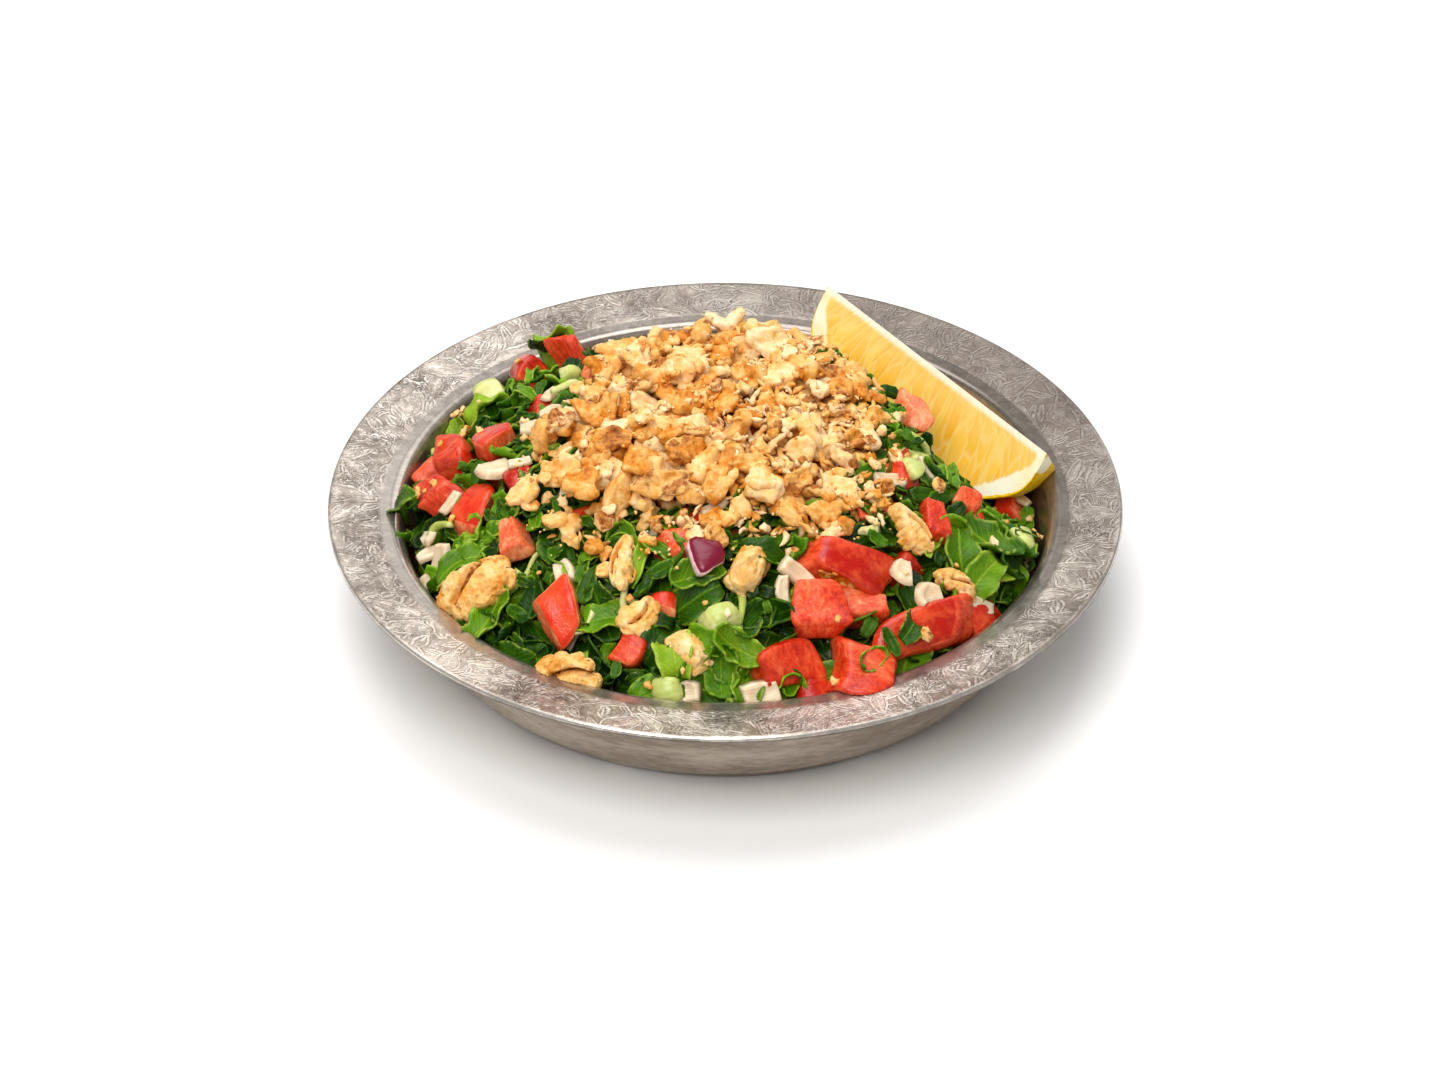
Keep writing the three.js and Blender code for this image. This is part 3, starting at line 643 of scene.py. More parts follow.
def chipShape(seed, size, thick, lobes, depth, bend, sides):  # a lobed flake of nut
    rng = np.random.default_rng(seed)
    selectNothing()
    bpy.ops.mesh.primitive_circle_add(vertices=sides, radius=1, fill_type="NGON")
    thing = started("chip")
    bpy.ops.object.mode_set(mode="EDIT")
    bpy.ops.mesh.select_all(action="SELECT")
    bpy.ops.mesh.inset(thickness=0.3)
    bpy.ops.mesh.poke()
    bpy.ops.object.mode_set(mode="OBJECT")
    points = pointsOf(thing)
    angle, r = np.arctan2(points[:, 1], points[:, 0]), np.hypot(points[:, 0], points[:, 1])
    phase = rng.uniform(0, anyTurn, 4)
    edge = 1 + depth * np.cos(lobes * angle + phase[0]) + 0.7 * depth * np.cos((lobes + 3) * angle + phase[1])
    edge = np.maximum(edge + 0.5 * depth * np.cos(angle + phase[2]), 0.4)
    x = r * np.cos(angle) * edge * size / 2
    y = r * np.sin(angle) * edge * size / 2 * rng.uniform(0.55, 0.95)
    z = bend * size * (x / size) ** 2 * 2 + 0.09 * size * np.sin(angle * 2 + phase[3]) * r
    z += thick * rng.uniform(-0.25, 0.25, len(z))
    movePoints(thing, np.stack([x, y, z], axis=1))
    applied(thing, "SOLIDIFY", thickness=thick, offset=0.0)
    applied(thing, "SUBSURF", levels=1, render_levels=1)
    points = pointsOf(thing)
    top = points[:, 2] > np.median(points[:, 2])
    for i, q in enumerate(points):
        at = Vector(q) * 0.55 + Vector((seed, 0, 0))
        points[i] = q + np.array(noise.noise_vector(at)) * thick * 0.35
        points[i, 2] += thick * 0.22 * noise.noise(at * 3.3)
    movePoints(thing, points)
    return remember(thing, top.astype(float) * (seed % 4 == 0))


def nubShape(seed, length, width, height, bend, rough, fine=2):  # a crumb or a curled granule
    rng = np.random.default_rng(seed)
    selectNothing()
    bpy.ops.mesh.primitive_ico_sphere_add(subdivisions=fine, radius=1)
    thing = started("nub")
    points = pointsOf(thing)
    for i, q in enumerate(points):
        at = Vector(q) * 1.4 + Vector((seed * 3.7, 0, 0))
        points[i] = q * (1 + rough * noise.noise(at) + 0.4 * rough * noise.noise(at * 2.3))
    x, y, z = points.T
    waist = 1 - 0.25 * np.cos(x * 5 + seed)
    shaped = np.stack([x * length / 2, y * waist * width / 2 + bend * (x ** 2 - 0.3) * length / 2,
                       z * waist * height / 2 + 0.3 * bend * np.sin(x * 3) * height], axis=1)
    movePoints(thing, shaped)
    return remember(thing, (points @ rng.normal(0, 1, 3) > 0.8).astype(float))


def stemShape(seed, length, radius):
    selectNothing()
    bpy.ops.mesh.primitive_cylinder_add(vertices=8, radius=radius, depth=length, rotation=(0, math.pi / 2, 0))
    thing = started("stem")
    bpy.ops.object.transform_apply(location=False, rotation=True, scale=False)
    bpy.ops.object.mode_set(mode="EDIT")
    for share in (-0.33, -0.16, 0.0, 0.16, 0.33):
        bpy.ops.mesh.select_all(action="SELECT")
        bpy.ops.mesh.bisect(plane_co=(share * length, 0, 0), plane_no=(1, 0, 0))
    bpy.ops.object.mode_set(mode="OBJECT")
    points = pointsOf(thing)
    share = points[:, 0] / length
    points[:, 1:] *= (1 + 0.5 * share)[:, None]
    points[:, 1] += 0.9 * length * (share ** 2 - 0.1) * (0.4 + 0.2 * (seed % 3))
    points[:, 2] += 0.08 * length * np.sin(share * 6 + seed)
    movePoints(thing, points)
    return remember(thing)


# heaping: each piece is dropped until it touches what lies there; lengths in mm
heaping = {"pitch": 0.5, "cells": 400, "wallGap": 0.3, "room": 0.6, "underPlaced": 2.5, "tired": 0.25,
           "tries": 9, "inward": 1.6, "sunkShare": 0.12, "sunkDepth": 0.6}


class Heap:
    def __init__(self, base, goal, seed):
        self.pitch, self.count = heaping["pitch"], heaping["cells"]
        line = (np.arange(self.count) - self.count / 2) * self.pitch
        self.x, self.y = np.meshgrid(line, line)
        self.height = base(self.x, self.y)
        self.goal = goal(self.x, self.y)
        self.ceiling = np.full(self.x.shape, 1e3)
        self.rng = np.random.default_rng(seed)
        self.placed = {}

    def cells(self, points):
        column = np.clip((points[:, 0] / self.pitch + self.count / 2).astype(int), 1, self.count - 2)
        row = np.clip((points[:, 1] / self.pitch + self.count / 2).astype(int), 1, self.count - 2)
        return row, column

    def stamp(self, points):
        row, column = self.cells(points)
        for down in (-1, 0, 1):
            for right in (-1, 0, 1):
                np.maximum.at(self.height, (row + down, column + right), points[:, 2])

    def keep(self, kind, shape, points, tone):
        self.placed.setdefault(kind, []).append((shape, points, tone))

    def dense(self, shape):  # points all over the shape, for the fit
        if "dense" not in shape:
            corners = shape["points"][shape["triangles"]]
            middles = corners.mean(axis=1)
            shape["dense"] = np.concatenate([shape["points"], middles])
        return shape["dense"]

    def put(self, kind, shape, matrix, scale):  # lays a piece at a given place
        matrix = np.array(matrix)
        spin, place = matrix[:3, :3] * np.array(scale), matrix[:3, 3]
        probe = self.dense(shape) @ spin.T + place
        self.stamp(probe)
        self.goal[self.cells(probe)] -= heaping["underPlaced"]
        points = keptInside(shape["points"] @ spin.T + place, heaping["wallGap"])
        self.keep(kind, shape, points, self.rng.random())

    def drop(self, kind, shape, x, y, turn, tilt, roll, sink, scale):
        level = layOn(x, y).to_3x3()
        own = (Matrix.Rotation(turn, 3, "Z") @ Matrix.Rotation(tilt, 3, "Y") @ Matrix.Rotation(roll, 3, "X"))
        spin = np.array(level @ own) * scale
        body = shape["points"] @ spin.T
        probe = self.dense(shape) @ spin.T
        for _ in range(heaping["tries"]):
            moved = probe + np.array([x, y, 0])
            row, column = self.cells(moved)
            gap = np.sort(self.height[row, column] - probe[:, 2])
            z = gap[int((len(gap) - 1) * (1 - heaping["sunkShare"] * sink))] - sink * heaping["sunkDepth"]
            outside = np.hypot(moved[:, 0], moved[:, 1]) - wallRadius(moved[:, 2] + z) + heaping["room"]
            if outside.max() <= 0:
                break
            inward = 1 - heaping["inward"] / math.hypot(x, y)
            x, y = x * inward, y * inward
        else:
            self.tire(x, y)
            return False
        if (moved[:, 2] + z - self.ceiling[row, column]).max() > 0:
            self.tire(x, y)
            return False
        self.stamp(moved + np.array([0, 0, z]))
        self.keep(kind, shape, body + np.array([x, y, z]), self.rng.random())
        return True

    def tire(self, x, y):  # where a piece didn't fit, the next one is less likely
        row, column = self.cells(np.array([[x, y, 0]]))
        self.goal[row[0] - 3:row[0] + 4, column[0] - 3:column[0] + 4] -= heaping["tired"]

    def lowest(self, mask, tries=40):  # the emptiest of some random spots
        rows, columns = mask
        pick = self.rng.integers(0, len(rows), tries)
        lack = self.goal[rows[pick], columns[pick]] - self.height[rows[pick], columns[pick]]
        best = pick[np.argmax(lack + self.rng.random(tries))]
        return self.x[rows[best], columns[best]], self.y[rows[best], columns[best]], lack.max()


def joined(name, placed):  # one mesh from many placed shapes
    points, triangles, own, skin, tone, offset = [], [], [], [], [], 0
    for shape, moved, shade in placed:
        points.append(moved)
        triangles.append(shape["triangles"] + offset)
        own.append(shape["own"])
        skin.append(shape["skin"])
        tone.append(np.full(len(moved), shade))
        offset += len(moved)
    points, triangles = np.concatenate(points) * mm, np.concatenate(triangles)
    mesh = bpy.data.meshes.new(name)
    mesh.vertices.add(len(points))
    mesh.vertices.foreach_set("co", points.astype(np.float32).ravel())
    mesh.loops.add(triangles.size)
    mesh.loops.foreach_set("vertex_index", triangles.astype(np.int32).ravel())
    mesh.polygons.add(len(triangles))
    mesh.polygons.foreach_set("loop_start", np.arange(0, triangles.size, 3, dtype=np.int32))
    mesh.update(calc_edges=True)
    store(mesh, skin=np.concatenate(skin), tone=np.concatenate(tone))
    data = mesh.attributes.new("own", "FLOAT_VECTOR", "POINT")
    data.data.foreach_set("vector", np.concatenate(own).astype(np.float32).ravel())
    thing = bpy.data.objects.new(name, mesh)
    bpy.context.scene.collection.objects.link(thing)
    print(f"  {name}: {len(placed)} pieces, {len(triangles)} triangles")
    return thing


def sheetOutline(low, lobes, count, skewed=0.0):  # half width of a leaf along its length
    def outline(u, v):
        body = low + (1 - low) * np.sin(np.pi * (0.08 + 0.84 * u ** (1 + skewed)))
        return body * (1 - lobes + lobes * np.abs(np.sin(u * count + 0.4 * v)))
    return outline


# walnut pieces that lie apart
walnuts = {  # place and turn as on the heap, then length, width and height in mm
    "walnut_piece_left": (-63, -45, 3.6, 12, -6, 12, 24, 18, 9),
    "walnut_piece_front": (-37, -74, 4.4, -20, 4, 24, 22, 15, 8),
    "walnut_stick": (-25, -52, 4.4, 80, 10, 0, 20, 7, 6),
    "walnut_cube": (6, -55, 4, 60, 0, 10, 13, 9, 8),
    "walnut_flake": (-21, -65, 3.4, 55, 0, 14, 14, 10, 5),
    "walnut_chip_low": (-8, -72.5, 4, 125, 0, 16, 13, 8, 6),
    "walnut_chip_right": (57, -46, 4, -15, 0, 8, 13, 7, 5),
    "walnut_long_right": (45, -38, 5.6, -35, 8, 0, 19, 8, 7),
}
walnutLook = {"lobes": 9, "lobeDepth": 0.13, "folds": 0.1, "fine": 0.035, "foldSize": 0.3, "pits": 0.5,
              "boxy": ("walnut_cube", "walnut_chip_low")}


def makeWalnut(name, place, index):
    x, y, lift, turn, tilt, roll, length, width, height = place
    selectNothing()
    bpy.ops.mesh.primitive_ico_sphere_add(subdivisions=6 if length > 18 else 5, radius=1)
    thing = started(name + "Kernel")
    points = pointsOf(thing)
    angle = np.arctan2(points[:, 1], points[:, 0])
    share = np.hypot(points[:, 0], points[:, 1])
    boxy = 5.0 if name in walnutLook["boxy"] else 2.0
    oval = 0.5 / ((np.abs(np.cos(angle)) / length) ** boxy + (np.abs(np.sin(angle)) / width) ** boxy) ** (1 / boxy)
    lobes, depth = walnutLook["lobes"] + index % 4, walnutLook["lobeDepth"] * (0.3 if boxy > 2 else 1.0)
    lobed = 1 - depth * (1.6 - np.abs(np.sin(lobes * angle / 2 + index)) ** 0.7)
    lobed += 0.9 * depth * np.cos(2 * angle + index * 2.1) + 0.7 * depth * np.cos(3 * angle + index * 3.3)
    px, py = np.cos(angle) * oval * lobed * share, np.sin(angle) * oval * lobed * share
    arch = height * np.sqrt(np.maximum(0.06, 1.06 - 4 * ((px / length) ** 2 + (py / width) ** 2)))
    top, bottom = 0.78 * arch - height * 0.42, 0.3 * arch - height * 0.55
    blend = np.clip((points[:, 2] + 0.45) / 0.9, 0, 1)
    blend = blend * blend * (3 - 2 * blend)
    pz = bottom + (top - bottom) * blend
    line = py / width - 0.08 - 0.16 * np.sin(5 * px / length + index)
    fold = np.exp(-((line / 0.045) ** 2)) * (np.abs(px / length - 0.05) < 0.25) * (blend > 0.5) * (boxy < 3)
    pz += height * (0.12 * (line > 0) - 0.42 * fold) * blend
    crease = np.zeros(len(points))
    for i in range(len(points)):
        at = Vector((px[i], py[i], pz[i])) * walnutLook["foldSize"] + Vector((index * 7.7, 0, 0))
        swell = noise.noise(at)
        pit = max(0.0, noise.noise(at * 1.7 + Vector((0, 0, 9))) - 0.22)
        fine = noise.noise(at * 5.0)
        push = walnutLook["folds"] * swell + walnutLook["fine"] * fine - walnutLook["pits"] * pit
        crease[i] = pit
        out = 1 + 0.5 * push
        px[i], py[i], pz[i] = px[i] * out, py[i] * out, pz[i] + push * height * (0.8 if points[i, 2] > 0 else -0.2)
    shaped = np.stack([px, py, pz], axis=1)
    matrix = np.array(layOn(x, y, lift, turn, tilt, roll))
    movePoints(thing, keptInside(shaped @ matrix[:3, :3].T + matrix[:3, 3], 0.3) * mm)
    toasted = 1.0 if name == "walnut_cube" else 0.25
    store(thing.data, skin=toasted * (1 - blend) + 2 * crease + 1.3 * fold,
          tone=np.full(len(points), 0.5 + 0.08 * (index % 3)))
    smooth(thing)
    return thing


def nutPaint(name, paper, light):
    p = Paint(name)
    tone, skin = p.attribute("tone"), p.attribute("skin")
    broad, fine, grain = p.noise(190, 4, 0.6), p.noise(800, 3, 0.6), p.noise(2600, 2)
    mixed = (broad - 0.5) * 1.3 + (tone - 0.5) * 0.45 + (fine - 0.5) * 0.5 + 0.5 + light
    meat = p.add("ShaderNodeValToRGB", {"stops": [
        (0.05, rgb(166, 76, 0)), (0.3, rgb(222, 142, 40)), (0.54, rgb(243, 192, 112)), (0.9, rgb(250, 227, 182))]},
        {0: mixed})[0]
    husk = p.mix(fine.ramp(0.3, 0.7), rgb(128, 60, 8), rgb(204, 128, 48))
    cover = (skin * paper + (broad - 0.5) * 1.6 * skin).ramp(0.42, 0.62)
    colour = p.mix(cover, meat, husk)
    spots = p.add("ShaderNodeTexVoronoi", None, {"Vector": p.place(), "Scale": 420.0})["Distance"]
    colour = p.mix((1 - spots.ramp(0.08, 0.22)) * 0.4, colour, rgb(150, 78, 22))
    height = fine * 0.7 + grain * 0.4 + broad * 0.5
    return p.finish(Base_Color=colour, Roughness=0.62 - fine * 0.2, Normal=p.bump(height, 0.6, 0.0006),
                    Specular_IOR_Level=0.3, Subsurface_Weight=0.06, Subsurface_Radius=(0.002, 0.001, 0.0004))


kernelPaint = nutPaint("walnutKernel", 0.55, 0.0)
kernels = []
for index, (name, place) in enumerate(walnuts.items()):
    kernel = settle(makeWalnut(name, place, index), kernelPaint, name)
    kernels.append(kernel)
print("walnut pieces")

# salad
salad = {"coreRadius": 83.0, "coreDrop": 8.0, "seed": 41, "pieces": 3200, "bits": 420, "goalRise": 1.2,
         "tomatoSize": 0.95, "leftSize": 0.82, "highest": 6.5, "bed": 4.5, "bedPieces": 1200, "cover": 900,
         "overLemon": 1.2, "overKernel": 3.2, "seedsEach": 6,
         "behind": {"from": 42, "halfWidth": 50, "lowered": 3.5, "highest": -0.5}}

tomatoes = [  # x, y, size, turn, lift
    (-52, 44, (11, 9, 14), 20, 2), (-42, 45, (7, 9, 13), 70, 3), (-60, 6, (13, 11, 9), 30, 1),
    (-71, 11, (15, 13, 12), 80, 1), (-73, -7, (14, 12, 12), 110, 1), (-79, 16, (15, 9, 10), 100, -1),
    (-66, -17, (17, 13, 8), 60, 0), (-54, -35, (15, 9, 8), 100, 1), (-41, -59, (18, 12, 10), 105, 2),
    (-23, -71, (11, 9, 9), 60, 0), (22, -63, (13, 12, 10), 100, 1), (15, -74, (18, 12, 9), 20, 0),
    (30, -51, (24, 12, 10), -8, 2), (34, -58, (14, 9, 8), 5, -1), (49, -60, (26, 12, 10), 30, 2),
    (34, -74, (16, 15, 14), 80, 2), (52, -31, (11, 6, 8), 100, 2), (61, -19, (8, 6, 6), 0, 2),
    (66, -50, (13, 10, 8), 50, -1), (49, 14, (13, 9, 9), 100, 1), (22, -79, (10, 9, 9), 10, -2),
    (-28, 66, (13, 11, 10), 130, -4), (-14, 77, (13, 11, 9), 40, -3),
]
greens = [  # x, y, size, turn, lift, tilt
    (-45, 52, (20, 11), 80, 5, 40), (-60, -31, (18, 11), 20, 0.4, 10), (-60, -57, (17, 10), 60, 0.4, -10),
    (-52, -65, (15, 9), -40, 0.4, 15), (-31, -61, (16, 10), 100, 0.5, -20), (-16, -50, (18, 10), 150, 0.5, 25),
    (-8, -62, (17, 11), 30, 0.5, -25), (5, -65, (18, 10), 80, 0.6, 20), (13, -49, (16, 10), -20, 0.6, -15),
    (-15, -79, (18, 11), 20, 0.4, 20), (-5, -80, (18, 11), 130, 0.5, -25), (6, -80, (16, 10), 60, 0.4, 15),
    (24, -44, (16, 10), 10, 0.5, 20), (45, -67, (20, 12), 70, 3, 10), (59, -35, (19, 12), 120, 0.8, -20),
    (70, -32, (19, 11), 60, 0.5, 20), (72, -21, (16, 11), 20, 0.5, -15), (62, -47, (16, 9), 10, 0.5, 15),
    (-82, -4, (24, 8), 150, 6, 20),
]


def coreTop(x, y):
    return saladTop(x, y) - salad["coreDrop"]


def makeCore(name, reach, top, bottom, lumps):
    selectNothing()
    bpy.ops.mesh.primitive_uv_sphere_add(segments=140, ring_count=80, radius=1)
    thing = started(name)
    points = pointsOf(thing)
    angle, share = np.arctan2(points[:, 1], points[:, 0]), np.hypot(points[:, 0], points[:, 1])
    r = reach(angle) * np.where(points[:, 2] > 0, share ** 1.15, share)
    x, y = r * np.cos(angle), r * np.sin(angle)
    low = bottom(x, y)
    high = np.maximum(top(x, y), low + 0.2)
    ripple = np.array([noise.noise(Vector((a, b, 0)) * 0.22) for a, b in zip(x, y)]) * lumps
    rim = np.clip(np.abs(points[:, 2]) * 8, 0, 1)
    z = np.where(points[:, 2] >= 0, low + (high + ripple - low) * rim, low)
    movePoints(thing, np.stack([x, y, z], axis=1) * mm)
    smooth(thing)
    return thing


# the shell under the salad pieces is painted near black green and dark red: painted shade showing through the gaps
# between the pieces
def corePaint():
    p = Paint("saladDepthPaintedShade")
    broad, fine = p.noise(120, 3), p.noise(420, 4, 0.7)
    colour = p.add("ShaderNodeValToRGB", {"stops": [
        (0.3, rgb(12, 22, 0)), (0.46, rgb(44, 62, 4)), (0.56, rgb(92, 50, 8)), (0.7, rgb(140, 40, 10))]},
        {0: broad * 0.6 + fine * 0.4})[0]
    return p.finish(Base_Color=colour, Roughness=0.35, Normal=p.bump(fine, 0.8, 0.001))


def tomatoPaint():
    p = Paint("tomatoFlesh")
    tone, skin, own = p.attribute("tone"), p.attribute("skin"), p.attribute("own", "Vector")
    broad, fine, speck = p.noise(130, 3, 0.6), p.noise(620, 4, 0.7), p.noise(1900, 2, 0.5)
    stretched = p.add("ShaderNodeMapping", None, {"Vector": own, "Scale": (9, 9, 2.2)})[0]
    fibre = p.noise(1.0, 3, 0.6, stretched, 0.6)
    mixed = (fibre - 0.5) * 0.8 + (broad - 0.5) * 0.8 + (fine - 0.5) * 0.35 + (tone - 0.5) * 0.4 + 0.5
    flesh = p.add("ShaderNodeValToRGB", {"stops": [
        (0.1, rgb(166, 16, 2)), (0.36, rgb(216, 58, 22)), (0.58, rgb(238, 104, 58)), (0.85, rgb(252, 170, 118))]},
        {0: mixed})[0]
    peel = p.mix(tone, rgb(168, 8, 0), rgb(220, 44, 12))
    peel = p.mix((broad * 0.7 + fine * 0.3).ramp(0.42, 0.64) * 0.75, peel, rgb(234, 90, 46))
    covered = (skin + (fine - 0.5) * 0.3).ramp(0.55, 0.75)
    gel = (skin * -1 + (fine - 0.5) * 0.5).ramp(0.25, 0.6)
    flesh = p.mix(gel, flesh, p.mix(fine.ramp(0.35, 0.65), rgb(190, 50, 4), rgb(246, 164, 44)))
    wet = (fine * 0.6 + speck * 0.4).ramp(0.46, 0.6)
    return p.finish(Base_Color=p.mix(covered, flesh, peel), Roughness=0.34 - covered * 0.16 - wet * 0.14,
                    Specular_IOR_Level=0.38, Subsurface_Weight=0.18, Subsurface_Radius=(0.003, 0.0008, 0.0004),
                    Subsurface_Scale=1.0,
                    Normal=p.bump(fine * (1 - covered * 0.45) * 0.8 + speck * 0.25 + fibre * 0.5, 0.45, 0.0006))


def seedPaint():
    p = Paint("tomatoSeed")
    tone, fine = p.attribute("tone"), p.noise(900, 3)
    colour = p.mix(tone * 0.6 + fine * 0.4, rgb(226, 140, 40), rgb(252, 210, 120))
    return p.finish(Base_Color=colour, Roughness=0.22 + fine * 0.1, Coat_Weight=0.4,
                    Normal=p.bump(fine, 0.2, 0.0003))


def leafPaint(name, dark, middle, pale, edge, gloss):
    p = Paint(name)
    own = p.add("ShaderNodeSeparateXYZ", None, {0: p.attribute("own", "Vector")})
    u, v = own[0], own[1].abs()
    tone, broad, fine = p.attribute("tone"), p.noise(150, 3), p.noise(700, 3, 0.6)
    rib = 1 - v.ramp(0.03, 0.12)
    veins = 1 - ((u * 9 - v * 3.2 + (fine - 0.5) * 0.5).math("PINGPONG", 0.5)).ramp(0.02, 0.14)
    blade = p.add("ShaderNodeValToRGB", {"stops": [(0.2, dark), (0.5, middle), (0.82, pale)]},
                  {0: broad * 0.55 + fine * 0.2 + tone * 0.5 - 0.12})[0]
    blade = p.mix((rib.math("MAXIMUM", veins * 0.5)) * 0.45, blade, pale)
    border = ((v - 0.82) * 6).math("MAXIMUM", 0.0).math("MINIMUM", 1.0) * (fine.ramp(0.35, 0.6))
    blade = p.mix(border * 0.4, blade, edge)
    height = veins * -0.5 + fine * 0.5 + broad * 0.4 - rib * 0.6
    return p.finish(Base_Color=blade, Roughness=gloss + broad * 0.25, Specular_IOR_Level=0.2,
                    Subsurface_Weight=0.2, Subsurface_Radius=(0.001, 0.002, 0.0003), Subsurface_Scale=1.0,
                    Normal=p.bump(height, 0.5, 0.0006))


def onionPaint(name, low, high, band, bandWidth):
    p = Paint(name)
    own = p.add("ShaderNodeSeparateXYZ", None, {0: p.attribute("own", "Vector")})
    tone, fine = p.attribute("tone"), p.noise(500, 3, 0.6)
    lines = ((own[1] * 3 + fine * 0.5).math("PINGPONG", 0.5)).ramp(0.0, 0.5)
    colour = p.mix((fine - 0.5) * 0.8 + lines * 0.25 + tone * 0.3 + 0.25, low, high)
    side = ((p.attribute("skin") + (fine - 0.5) * 0.4).ramp(0.5, 0.7)) * bandWidth
    return p.finish(Base_Color=p.mix(side, colour, band), Roughness=0.2 + fine * 0.12, Specular_IOR_Level=0.4,
                    Subsurface_Weight=0.5, Subsurface_Radius=(0.004, 0.003, 0.0022), Subsurface_Scale=1.0,
                    Normal=p.bump(lines * 0.25 + fine * 0.5, 0.2, 0.0003))


saladKinds = {
    "tomatoDice": tomatoPaint(),
    "tomatoSeeds": seedPaint(),
    "parsleyLeaves": leafPaint("parsleyGreen", rgb(14, 44, 0), rgb(52, 102, 0), rgb(112, 160, 10),
                               rgb(186, 206, 66), 0.22),
    "darkLeaves": leafPaint("darkLeaf", rgb(6, 26, 0), rgb(24, 62, 0), rgb(66, 110, 4),
                            rgb(108, 144, 24), 0.2),
    "lettuceLeaves": leafPaint("lettuceGreen", rgb(46, 90, 0), rgb(92, 138, 4), rgb(156, 186, 40),
                               rgb(206, 216, 96), 0.24),
    "ribbonLeaves": leafPaint("ribbonGreen", rgb(40, 88, 0), rgb(92, 142, 6), rgb(160, 192, 46),
                              rgb(206, 220, 96), 0.22),
    "onionSlices": onionPaint("whiteOnion", rgb(210, 172, 128), rgb(246, 226, 196), rgb(250, 240, 224), 0.4),
    "purpleOnion": onionPaint("purpleOnionFlesh", rgb(204, 122, 136), rgb(246, 222, 218),
                              rgb(120, 10, 44), 1.0),
    "cucumberDice": onionPaint("cucumberFlesh", rgb(184, 192, 92), rgb(236, 232, 168), rgb(166, 186, 86), 0.5),
    "greenStems": leafPaint("stemGreen", rgb(150, 174, 52), rgb(200, 208, 104), rgb(236, 232, 170),
                            rgb(238, 234, 180), 0.26),
}


def bends(i, low, high):  # bend, up or down by turns
    return (low + (high - low) * ((i * 0.618) % 1)) * (1 if i % 3 else -1)


parsleyShapes = [
    sheetShape(10 + i, 13 + i % 4, 9 + i % 4, sheetOutline(0.3, 0.26, 6 + i % 4), bends(i, 1.2, 2.8),
               0.7 + 0.2 * (i % 5), 0.7, 0.42) for i in range(9)]
darkShapes = [
    sheetShape(40 + i, 13 + i % 4, 8 + i % 3, sheetOutline(0.3, 0.16, 6 + i % 4), bends(i + 1, 1.0, 2.8),
               0.8 + 0.25 * (i % 4), 0.5, 0.45, 11, 4) for i in range(8)]
lettuceShapes = [
    sheetShape(70 + i, 15 + i % 3, 10 + i % 4, sheetOutline(0.5, 0.12, 9 + i, 0.3), bends(i, 1.2, 2.6),
               0.8 + 0.2 * (i % 3), 0.9, 0.5, 15, 7) for i in range(6)]
ribbonShapes = [
    sheetShape(130 + i, 12 + 2 * i, 4.4, sheetOutline(0.6, 0.12, 7 + i), bends(i, 0.9, 2.2),
               1.2, 0.4, 0.5, 12, 4) for i in range(4)]
bitShapes = [
    sheetShape(90 + i, 4.5 + i % 3, 3 + 0.5 * (i % 3), sheetOutline(0.4, 0.24, 7 + i), bends(i, 0.6, 2.4),
               0.8, 0.3, 0.36, 5, 3) for i in range(8)]
tomatoShapes = [chunkShape(i, 9, 6.0 + 2.0 * (i % 3), 0.17, i % 3 == 1) for i in range(11)]
onionShapes = [
    sheetShape(150 + i, 1.05, 0.5 + 0.15 * (i % 3), sheetOutline(0.5 + 0.1 * (i % 4), 0, 3), 0.35 + 0.2 * i,
               0.6, 0.012, 0.22 + 0.04 * (i % 3), 9, 5) for i in range(6)]
diceShapes = [chunkShape(20 + i, 4, 4.0 + i % 2, 0.34) for i in range(4)]
stemShapes = [stemShape(i, 5 + 3 * i, 1.3 - 0.15 * i) for i in range(4)]
seedShapes = [nubShape(200 + i, 2.5, 1.7, 0.9, 0.0, 0.1) for i in range(3)]


shapesOf = {"parsleyLeaves": parsleyShapes, "darkLeaves": darkShapes, "lettuceLeaves": lettuceShapes,
            "ribbonLeaves": ribbonShapes, "tomatoDice": tomatoShapes, "onionSlices": onionShapes,
            "purpleOnion": diceShapes, "cucumberDice": diceShapes, "greenStems": stemShapes}


def heapStart(x, y):
    inside = np.hypot(x, y) < salad["coreRadius"] + 0.5
    return np.where(inside, np.maximum(coreTop(x, y), dishInside(x, y)), dishInside(x, y))


heap = Heap(heapStart, lambda x, y: saladTop(x, y) + salad["goalRise"], salad["seed"])
radii, bearings = np.hypot(heap.x, heap.y), np.arctan2(heap.y, heap.x)
ring = np.nonzero((radii < 85.5) & (radii > nutReach(bearings) - 9))

for thing, give in [(lemonWedge, salad["overLemon"])] + [(kernel, salad["overKernel"]) for kernel in kernels]:
    points = np.round(pointsOf(thing) / mm, 3)
    row, column = heap.cells(points)
    for down in (-2, -1, 0, 1, 2):
        for right in (-2, -1, 0, 1, 2):
            around = np.clip(row + down, 0, heap.count - 1), np.clip(column + right, 0, heap.count - 1)
            np.minimum.at(heap.ceiling, around, points[:, 2] + give)


wedgeFoot = [  # x, y, z where the wedge's lower side shows; kept free towards the viewer
    (26.5, 59.7, 41), (38.4, 48.4, 40.5), (45, 40, 36.5), (51.6, 30.9, 32.8), (55.5, 25, 29),
    (59.1, 18.8, 25.6), (64, 13, 23.5), (68.9, 7.2, 21.9),
]
for x, y, z in wedgeFoot:
    for step in range(16):
        row, column = heap.cells(np.array([[x, y - step, z]]))
        spot = (slice(row[0] - 6, row[0] + 7), slice(column[0] - 8, column[0] + 9))
        line = np.maximum(z + 0.7 * step + 1.5, heap.height[spot] + 3.4)
        heap.ceiling[spot] = np.minimum(heap.ceiling[spot], line)


